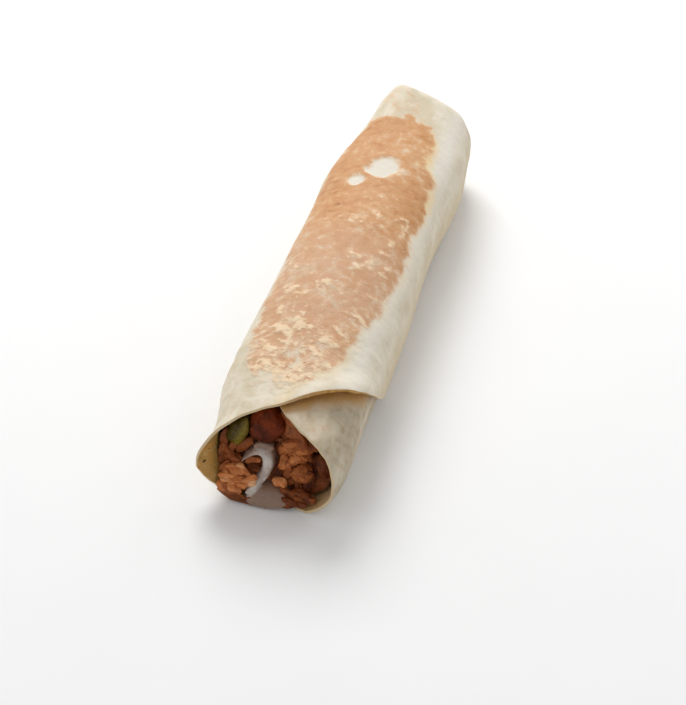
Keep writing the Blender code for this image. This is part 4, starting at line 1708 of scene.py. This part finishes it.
    def heaped(self) -> list[Strip]:
        """Fine shreds piled at each heap, no two alike.

        Returns:
            The shreds.
        """
        dice = random.Random(self.seed + 1)
        found: list[Strip] = []
        for heap in self.heaps:
            for _ in range(heap.count):
                turn = dice.uniform(0.0, 2.0 * math.pi)
                reach = math.sqrt(dice.random())
                x = heap.x + heap.wide * reach * math.cos(turn)
                z = heap.z + heap.tall * reach * math.sin(turn)
                size = (dice.uniform(6.0, 10.5), dice.uniform(2.4, 4.0), dice.uniform(1.8, 2.6))
                found.append(Strip(Cut.SHRED, x, z, size, dice.uniform(-50.0, 28.0),
                                   dice.uniform(-12.0, 20.0), dice.uniform(-40.0, 40.0),
                                   dice.uniform(-35.0, 45.0), heap.proud * dice.uniform(0.55, 1.1),
                                   dice.uniform(heap.darkest, heap.palest)))
        return found

    def model(self, cut: Cut) -> tuple[Array, Piece]:
        """Models one cut of meat, a unit long, wide and thick.

        Args:
            cut: which one.
        Returns:
            Its points, and the object that is copied.
        """
        bpy.ops.object.select_all(action="DESELECT")
        bpy.ops.mesh.primitive_cube_add(size=1.0)
        made = bpy.context.object
        edit(made,
             lambda: bpy.ops.mesh.subdivide(number_cuts=self.cuts),
             lambda: bpy.ops.transform.tosphere(value=ROUNDING[cut]),
             lambda: bpy.ops.mesh.vertices_smooth(factor=0.5, repeat=2))
        made.name = "strip_" + cut.value
        points = read_points(made)
        return points / (points.max(axis=0) - points.min(axis=0)), made

    def uneven(self, unit: Array, strip: Strip, seed: int) -> tuple[Array, Array]:
        """Sizes a unit shape and gives it grooves, lumps, torn ends and a wave.

        Args:
            unit: points of the unit shape.
            strip: what the piece is like.
            seed: picks its unevenness.
        Returns:
            Its points, lying straight, and each point's tone.
        """
        long, wide, thick = strip.size
        local = unit * np.array(strip.size)
        shift = np.array((seed * PIECE_SHIFT, 0.0, 0.0))
        ends = np.abs(unit[:, 0]) * 2.0
        turn = np.arctan2(unit[:, 2], unit[:, 1])
        ring = stack(unit[:, 0] * long * 0.13, np.cos(turn) * wide * 0.5, np.sin(turn) * wide * 0.5)
        grooves = layered(ring + shift, (0.9, 0.95, 0.95), seed + 7, 2)
        lumps = layered(local + shift, (2.8, 1.7, 1.7), seed)
        swell = 1.0 + 0.12 * grooves + 0.34 * lumps - 0.30 * ends ** 3
        local[:, 1:] = local[:, 1:] * swell[:, None]
        torn = grain(stack(np.zeros_like(ends), local[:, 1], local[:, 2]) + shift, 0.8, seed + 5)
        local[:, 0] = local[:, 0] * (1.0 + 0.16 * ends ** 3 * torn)
        local[:, 1] = local[:, 1] + 0.14 * wide * np.sin(local[:, 0] / long * 5.0 + seed)
        local[:, 2] = local[:, 2] + 0.16 * thick * np.sin(local[:, 0] / long * 7.0 + 2.0 * seed)
        tone = strip.tone + 0.08 * grooves + 0.14 * layered(local + shift, (4.0, 2.5, 2.5), seed + 9)
        return local, tone

    def laid(self, local: Array, strip: Strip) -> Array:
        """Bends a piece and lays it in the mouth.

        Args:
            local: its points: x along the piece, y across it and z out of the filling's face.
            strip: what the piece is like and where it lies.
        Returns:
            Its points in millimetres about the mouth.
        """
        long, _, thick = strip.size
        bend = math.radians(strip.curl)
        if abs(bend) > self.smallest_bend:
            radius = long / bend
            turn = local[:, 0] / radius
            reach = radius - local[:, 2]
            rise = radius - reach * np.cos(turn) - 0.12 * abs(long * bend)
            local = stack(reach * np.sin(turn), local[:, 1], rise)
        pose = Matrix.Identity(3)
        for degrees, axis in ((strip.heading, "Z"), (-strip.pitch, "Y"), (strip.roll, "X")):
            pose = pose @ Matrix.Rotation(math.radians(degrees), 3, axis)
        lean = math.radians(self.face_lean)
        face = Matrix(((1.0, 0.0, 0.0),
                       (0.0, math.sin(lean), -math.cos(lean)),
                       (0.0, math.cos(lean), math.sin(lean))))
        start = float(ROLL.filling_front(np.array(strip.x), np.array(strip.z)))
        middle = np.array((strip.x, start - strip.proud + 0.5 * thick, strip.z))
        points = local @ np.array(face @ pose).T + middle
        points[:, 1] = np.maximum(points[:, 1], self.front_limit)
        return points

    def free(self, x: float, z: float) -> bool:
        """Whether a place in the mouth is clear of the sauce, tomato and pickle."""
        return all(((x - middle_x) / wide) ** 2 + ((z - middle_z) / tall) ** 2 >= 1.0
                   for middle_x, middle_z, wide, tall in self.clear)

    def scattered(self) -> list[Strip]:
        """Random strips that fill the mouth behind and between the placed ones.

        Returns:
            The strips, darker at the right where little light comes.
        """
        dice = random.Random(self.seed)
        found: list[Strip] = []
        while len(found) < self.fill:
            around = dice.random()
            share = math.sqrt(dice.random()) * 0.90
            wall = ROLL.room(np.array(around), np.array(9.0), 2.0)
            x = MIDDLE_X + (float(wall[0]) - MIDDLE_X) * share
            z = MIDDLE_Z + (float(wall[2]) - MIDDLE_Z) * share
            cut = dice.choice((Cut.SHRED, Cut.SHRED, Cut.SHAVING, Cut.CHUNK))
            grown = dice.uniform(0.65, 1.1)
            size = tuple(part * grown for part in USUAL_SIZE[cut])
            deep = dice.uniform(0.8, 2.4) if self.free(x, z) else dice.uniform(4.0, 6.5)
            lit = 0.45 if x > 8.5 else 1.0
            found.append(Strip(cut, x, z, size, dice.uniform(-90.0, 90.0), dice.uniform(-10.0, 14.0),
                               dice.uniform(-40.0, 40.0), dice.uniform(-24.0, 30.0), -deep,
                               lit * dice.uniform(0.12, 0.46)))
        return found

    def keep_inside(self, points: Array) -> Array:
        """Draws points that stick into the bread back inside the room of the filling.

        Args:
            points: a piece's points, which are changed.
        Returns:
            The same points.
        """
        around = np.linspace(0.0, 1.0, 181)
        angle, _ = polar(points)
        for station, hold in self.stations:
            near = np.abs(points[:, 1] - station) <= hold
            wall = ROLL.room(around, np.full_like(around, station), self.wall_gap)
            angles, limits = polar(wall)
            order = np.argsort(angles)
            limit = np.interp(angle, angles[order], limits[order], period=360.0)
            limit = limit + self.spill * (1.0 - smooth(-0.2, 2.4, points[:, 1]))
            _, reach = polar(points)
            factor = np.where(near, np.minimum(1.0, limit / np.maximum(reach, 0.01)), 1.0)
            points[:, 0] = MIDDLE_X + (points[:, 0] - MIDDLE_X) * factor
            points[:, 2] = MIDDLE_Z + (points[:, 2] - MIDDLE_Z) * factor
        return points

    def build(self) -> Piece:
        """Models each cut once, copies and poses it, and joins all the copies.

        Returns:
            The heap of strips.
        """
        shapes = {cut: self.model(cut) for cut in Cut}
        copies = []
        strips = [*self.placed, *self.heaped(), *self.scattered()]
        for seed, strip in enumerate(strips, start=self.first_seed):
            unit, source = shapes[strip.cut]
            copy = copied(source)
            local, tone = self.uneven(unit, strip, seed)
            write_points(copy, self.keep_inside(self.laid(local, strip)))
            paint(copy, "fibre", local + np.array((seed * PIECE_SHIFT, 0.0, 0.0)))
            paint(copy, "tone", tone)
            copies.append(copy)
        for _, source in shapes.values():
            bpy.data.objects.remove(source)
        made = joined(copies, "meat_strips")
        dress(made, Roast().make())
        round_off(made, 70.0)
        return made


# ---- sauce and vegetables ----

@dataclass
class GarlicSauce:
    """A hooked band of garlic sauce with the pool beneath it, run together as cream does."""

    # middle of the band across the mouth: x, z, half width
    hook: tuple[Triple, ...] = (
        (-13.2, 14.0, 0.4), (-11.8, 15.7, 0.8), (-9.6, 17.5, 1.1), (-7.0, 19.0, 1.5), (-5.0, 19.0, 1.9),
        (-3.4, 17.4, 2.2), (-2.8, 14.4, 2.4), (-3.6, 11.2, 2.3), (-5.2, 8.6, 1.9), (-7.4, 6.6, 1.6),
        (-9.8, 4.8, 1.2))
    pool: Quad = (-1.6, 3.2, 7.2, 2.9)
    film: Quad = (-5.4, 20.4, 3.6, 1.4)
    overhang: float = 1.8
    band_length: float = 176.0
    proud: float = 1.5
    voxel: float = 0.45
    nose_share: float = 0.35  # share of the rows that make the band's front
    nose_depth: float = 2.6
    ripple: float = 0.35

    def middle_line(self) -> Array:
        """The band's middle line, smoothed.

        Returns:
            Rows of x, z and half width.
        """
        path = np.array(self.hook)
        marks = np.arange(len(path)) / (len(path) - 1)
        fine = np.linspace(0.0, 1.0, 121)
        curve = np.stack([np.interp(fine, marks, path[:, axis]) for axis in range(3)], axis=-1)
        for _ in range(8):
            curve[1:-1] = 0.25 * curve[:-2] + 0.5 * curve[1:-1] + 0.25 * curve[2:]
        return curve

    def band(self) -> Piece:
        """Models the hooked band.

        Returns:
            A closed skin whose outline follows the hook, up one side and down the other.
        """
        made, across, down = unit_grid("sauce_band", 96, 40)
        position = np.where(across < 0.5, across * 2.0, 2.0 - across * 2.0)
        sign = np.where(across < 0.5, 1.0, -1.0)
        curve = self.middle_line()
        fine = np.linspace(0.0, 1.0, len(curve))
        x, z, half = (np.interp(position, fine, curve[:, axis]) for axis in range(3))
        slope = np.gradient(curve[:, :2], axis=0)
        slope = slope / np.linalg.norm(slope, axis=1, keepdims=True)
        side_x = -np.interp(position, fine, slope[:, 1])
        side_z = np.interp(position, fine, slope[:, 0])
        half = half * np.sin(math.pi * (position * 0.96 + 0.02)) ** 0.35
        nose = portion(down, 0.0, self.nose_share)
        tail = portion(down, self.nose_share, 1.0)
        half = half * np.sin(nose * math.pi / 2.0) ** 0.8 * np.where(tail >= 0.999, 0.0, 1.0)
        half = half * (1.0 + 0.16 * grain(stack(x, z, 6.0 * down), 3.0, 403))
        x = x + sign * side_x * half
        z = z + sign * side_z * half
        start = ROLL.filling_front(x, z) - self.proud
        nose_y = self.nose_depth * (1.0 - np.cos(nose * math.pi / 2.0))
        write_points(made, stack(x, start + nose_y + self.band_length * tail ** 2.2, z))
        close_skin(made)
        return made

    def blob(self, name: str, sizes: Quad, deep: float, proud: float) -> Piece:
        """A soft lump of sauce pressed into the filling's face.

        Args:
            name: the object's name.
            sizes: x, z, half width and half height.
            deep: how far it reaches into the roll.
            proud: how far it stands out of the face.
        Returns:
            The lump.
        """
        made, across, down = unit_grid(name, 48, 32)
        x, z, wide, tall = sizes
        turn = 2.0 * math.pi * across
        rise = np.pi * down
        uneven = 1.0 + 0.30 * grain(stack(np.cos(turn), np.sin(turn), down * 2.0), 0.8, 411)
        place_x = x + wide * uneven * np.cos(turn) * np.sin(rise)
        place_z = z + tall * uneven * np.sin(turn) * np.sin(rise)
        outer = -np.cos(rise)
        start = ROLL.filling_front(place_x, place_z)
        y = start + np.where(outer < 0.0, proud * outer, deep * outer)
        write_points(made, stack(place_x, y, place_z))
        close_skin(made)
        return made

    def stain(self, points: Array) -> Array:
        """How much meat juice is mixed in: little in the fresh band, most in the pool.

        Args:
            points: places in millimetres about the mouth.
        Returns:
            0 to 1 at each.
        """
        path = np.array(self.hook)
        dense = np.linspace(0.0, len(path) - 1.0, 61)
        line = [np.interp(dense, np.arange(len(path)), path[:, axis]) for axis in (0, 1)]
        gap = np.hypot(points[:, 0, None] - line[0], points[:, 2, None] - line[1]).min(axis=1)
        arm = 0.62 * smooth(-5.5, -9.5, points[:, 0]) * smooth(11.0, 14.0, points[:, 2])
        film = smooth(19.6, 21.0, points[:, 2])
        return np.clip(smooth(1.1, 2.7, gap) + arm + film, 0.0, 1.0)

    def build(self) -> Piece:
        """Models the band, the pool and the film, and runs them together.

        Returns:
            The sauce.
        """
        lumps = [self.blob("pool", self.pool, 16.0, 3.8), self.blob("film", self.film, 5.0, 0.5)]
        made = joined([self.band(), *lumps], "sauce_band")
        apply(made, "REMESH", mode="VOXEL", voxel_size=self.voxel * MM, use_smooth_shade=True)
        apply(made, "SMOOTH", factor=0.6, iterations=4)
        points = read_points(made) / MM + CENTRE
        points[:, 1] = points[:, 1] + self.ripple * layered(points, (3.0, 4.0, 3.0), 421)
        points[:, 1] = np.maximum(points[:, 1], -self.overhang)
        write_points(made, points)
        paint(made, "stained", self.stain(points))
        dress(made, Cream().make())
        round_off(made, 80.0)
        return made


@dataclass
class Spear:
    """A long piece of vegetable laid down the roll, blunt and rounded at the mouth."""

    name: str
    x: float
    z: float
    wide: float
    tall: float
    turn: float
    length: float
    proud: float
    seed: int
    finish: Finish
    lobes: float = 0.07
    columns: int = 72
    rows: int = 60
    face_end: float = 0.5  # share of the rows that make the domed front
    side_end: float = 0.94  # share at which the far tip starts
    dome: float = 2.4
    lump: float = 0.55

    def build(self) -> Piece:
        """Models the piece, with a domed and uneven front, and dresses it.

        Returns:
            The piece.
        """
        made, across, down = unit_grid(self.name, self.columns, self.rows)
        turn = 2.0 * math.pi * across
        nose = portion(down, 0.0, self.face_end)
        body = portion(down, self.face_end, self.side_end)
        tip = portion(down, self.side_end, 1.0)
        girth = np.sin(nose * math.pi / 2.0) ** 0.62 * (1.0 - 0.5 * smooth(0.7, 1.0, body))
        girth = girth * np.cos(tip * math.pi / 2.0)
        uneven = 1.0 + self.lobes * np.sin(3.0 * turn + self.x) + 0.05 * np.sin(5.0 * turn)
        side = self.wide * girth * uneven * np.cos(turn)
        up = self.tall * girth * uneven * np.sin(turn)
        tilt = math.radians(self.turn)
        x = self.x + side * math.cos(tilt) - up * math.sin(tilt)
        z = self.z + side * math.sin(tilt) + up * math.cos(tilt)
        start = float(ROLL.filling_front(np.array(self.x), np.array(self.z))) - self.proud
        dome = self.dome * (1.0 - np.cos(nose * math.pi / 2.0)) + 0.2 * (z - self.z)
        y = start + dome + (self.length - 6.0) * body ** 1.8
        lumps = self.lump * layered(stack(x, y, z), (2.6, 3.0, 2.6), self.seed)
        y = y + lumps * (1.0 - smooth(self.face_end, 0.6, down))
        face = 1.0 - smooth(0.62, 1.0, nose)
        strip = bulge(side / self.wide, 1.0, 0.45, 0.35)
        marks = {"flesh": np.clip(0.75 * face * (0.35 + strip), 0.0, 1.0)}
        return finished(made, stack(x, y, z), marks, self.finish.make(), 70.0)


@dataclass
class HerbFlecks:
    """Specks of herb and spice on the lip and on the filling."""

    seed: int = 19
    count: int = 18
    lip: tuple[Quad, ...] = (
        # winding angle, station, length in mm, tone
        (188.0, 3.4, 1.5, 0.05), (181.0, 2.2, 0.8, 0.95), (176.0, 5.0, 0.7, 0.4), (197.0, 4.6, 0.6, 0.7))
    across: Pair = (-20.0, 14.0)
    high: Pair = (4.0, 30.0)
    bare: Triple = (-6.0, 13.0, 9.0)  # none on the sauce: x, z, radius
    depth_share: float = 0.86  # how deep in the lip's sheet a fleck lies
    face_way: Triple = (0.0, -0.94, 0.34)

    def model(self) -> Piece:
        """Models one torn fleck.

        Returns:
            The fleck, a unit long.
        """
        bpy.ops.object.select_all(action="DESELECT")
        bpy.ops.mesh.primitive_ico_sphere_add(subdivisions=2, radius=0.5)
        made = bpy.context.object
        edit(made,
             lambda: bpy.ops.transform.resize(value=(1.0, 0.6, 0.22)),
             lambda: bpy.ops.transform.vertex_random(offset=0.07, seed=3))
        return made

    def places(self, dice: random.Random) -> list[tuple[Array, Array, float, float]]:
        """Where the flecks lie: some on the lip, the rest anywhere on the filling.

        Args:
            dice: gives the random numbers.
        Returns:
            Each fleck's place, the way it faces, its length and its tone.
        """
        found: list[tuple[Array, Array, float, float]] = []
        for winding, station, size, tone in self.lip:
            angle = np.array(winding)
            where = np.array(station)
            depth = ROLL.face_depth(angle) + ROLL.thickness * self.depth_share
            base = ROLL.under(angle, where, depth)
            found.append((base, ROLL.under(angle, where, depth + 1.0) - base, size, tone))
        bare_x, bare_z, radius = self.bare
        while len(found) < self.count:
            x = dice.uniform(*self.across)
            z = dice.uniform(*self.high)
            if math.hypot(x - bare_x, z - bare_z) < radius:
                continue
            start = float(ROLL.filling_front(np.array(x), np.array(z)))
            base = np.array((x, start - dice.uniform(0.9, 1.9), z))
            found.append((base, np.array(self.face_way), dice.uniform(0.5, 1.1), dice.random()))
        return found

    def build(self) -> Piece:
        """Copies the fleck to each place and joins the copies.

        Returns:
            All the flecks.
        """
        dice = random.Random(self.seed)
        source = self.model()
        unit = read_points(source)
        copies = []
        for base, outward, size, tone in self.places(dice):
            copy = copied(source)
            facing = Vector(outward).to_track_quat("Z", "X").to_matrix()
            turn = facing @ Matrix.Rotation(dice.uniform(0, 6.28), 3, "Z")
            write_points(copy, (unit * size) @ np.array(turn).T + base)
            paint(copy, "tone", np.full(len(unit), tone))
            copies.append(copy)
        bpy.data.objects.remove(source)
        made = joined(copies, "herb_flecks")
        dress(made, Herb().make())
        round_off(made, 60.0)
        return made


# ---- studio ----

@dataclass
class Studio:
    """Plain pale floor, soft light and the camera."""

    azimuth: float = 16.445
    elevation: float = 43.571
    distance: float = 0.8074
    target: Triple = (0.00720, -0.03417, 0.01590)
    lens: float = 106.05
    sensor: float = 36.0
    nearest: float = 0.01
    key_place: Triple = (-0.45, 0.85, 0.95)
    key_power: float = 12.5
    key_size: float = 0.70
    fill_place: Triple = (0.90, 0.50, 1.00)
    fill_power: float = 1.6
    fill_size: float = 0.9
    sky: float = 0.56
    aim: Triple = (0.0, 0.0, 0.02)
    floor_size: float = 8.0
    floor_drop: float = 0.0003
    floor_cell: float = 60.0
    floor_dark: Colour = (0.93, 0.93, 0.93)
    floor_light: Colour = (0.96, 0.96, 0.96)

    def lamp(self, name: str, place: Triple, power: float, size: float) -> None:
        """Adds a soft square lamp that faces the roll.

        Args:
            name: the lamp's name.
            place: where it stands.
            power: its power in watts.
            size: the length of its side.
        """
        bpy.ops.object.light_add(type="AREA", location=place)
        made = bpy.context.object
        made.name = name
        made.data.energy = power
        made.data.size = size
        aim = Vector(self.aim) - Vector(place)
        made.rotation_euler = aim.to_track_quat("-Z", "Y").to_euler()

    def floor(self) -> None:
        """Lays the plain pale floor and dresses it."""
        bpy.ops.object.select_all(action="DESELECT")
        bpy.ops.mesh.primitive_plane_add(size=self.floor_size, location=(0.0, 0.0, -self.floor_drop))
        floor = bpy.context.object
        floor.name = "floor"
        bench = Workbench("floor")
        faint = bench.noise(bench.place(), self.floor_cell, 2.0)
        colour = bench.blend(faint, self.floor_dark, self.floor_light)
        bench.feed(bench.shader.inputs["Base Color"], colour)
        bench.shader.inputs["Roughness"].default_value = 0.9
        bench.shader.inputs["Specular IOR Level"].default_value = 0.1
        dress(floor, bench.material)

    def camera(self) -> None:
        """Puts the camera in front of the mouth, high up and a little to the right."""
        lens = bpy.data.cameras.new("camera")
        lens.lens = self.lens
        lens.sensor_width = self.sensor
        lens.clip_start = self.nearest
        camera = bpy.data.objects.new("camera", lens)
        bpy.context.scene.collection.objects.link(camera)
        side, up = math.radians(self.azimuth), math.radians(self.elevation)
        back = Vector((math.sin(side) * math.cos(up), -math.cos(side) * math.cos(up), math.sin(up)))
        camera.location = Vector(self.target) + back * self.distance
        camera.rotation_euler = back.to_track_quat("Z", "Y").to_euler()
        bpy.context.scene.camera = camera

    def build(self) -> None:
        """Sets up the floor, the lamps, the sky and the camera."""
        self.floor()
        self.lamp("key", self.key_place, self.key_power, self.key_size)
        self.lamp("fill", self.fill_place, self.fill_power, self.fill_size)
        world = bpy.data.worlds.new("sky")
        world.use_nodes = True
        ground = world.node_tree.nodes["Background"]
        ground.inputs["Color"].default_value = (1.0, 1.0, 1.0, 1.0)
        ground.inputs["Strength"].default_value = self.sky
        bpy.context.scene.world = world
        self.camera()
        bpy.context.scene.view_settings.view_transform = "Standard"


def place(piece: Piece, nodes: tuple[str, ...], slot: str) -> None:
    """Ties a piece to the part and reports it.

    Args:
        piece: the finished object.
        nodes: CAD nodes that it stands for.
        slot: not used.
    """
    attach(piece, BODY)
    if nodes:
        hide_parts(*nodes)
    log.info("%s: %d faces", piece.name, len(piece.data.polygons))


def main() -> None:
    """Builds every sub-assembly in order."""
    logging.basicConfig(level=logging.INFO, format="%(message)s")
    place(Flatbread().build(), ("flatbread",), "flatbread")
    place(TailTuck().build(), ("flatbread",), "flatbread")
    place(MeatCore().build(), ("chicken",), "chicken")
    place(MeatStrips().build(), ("chicken",), "chicken")
    place(GarlicSauce().build(), ("garlic_sauce",), "garlic_sauce")
    tomato = Spear(name="tomato_chunk", x=-5.0, z=29.0, wide=6.6, tall=7.2, turn=-12.0, length=165.0,
                   proud=2.4, seed=501, finish=TomatoFlesh())
    place(tomato.build(), ("tomato",), "tomato")
    pickle = Spear(name="pickle_spear", x=-15.3, z=25.2, wide=3.9, tall=6.9, turn=-24.0, length=150.0,
                   proud=2.2, seed=511, finish=PickleFlesh(), lobes=0.05)
    place(pickle.build(), ("pickle",), "pickle")
    place(HerbFlecks().build(), (), "chicken")
    Studio().build()


if __name__ == "__main__":
    main()
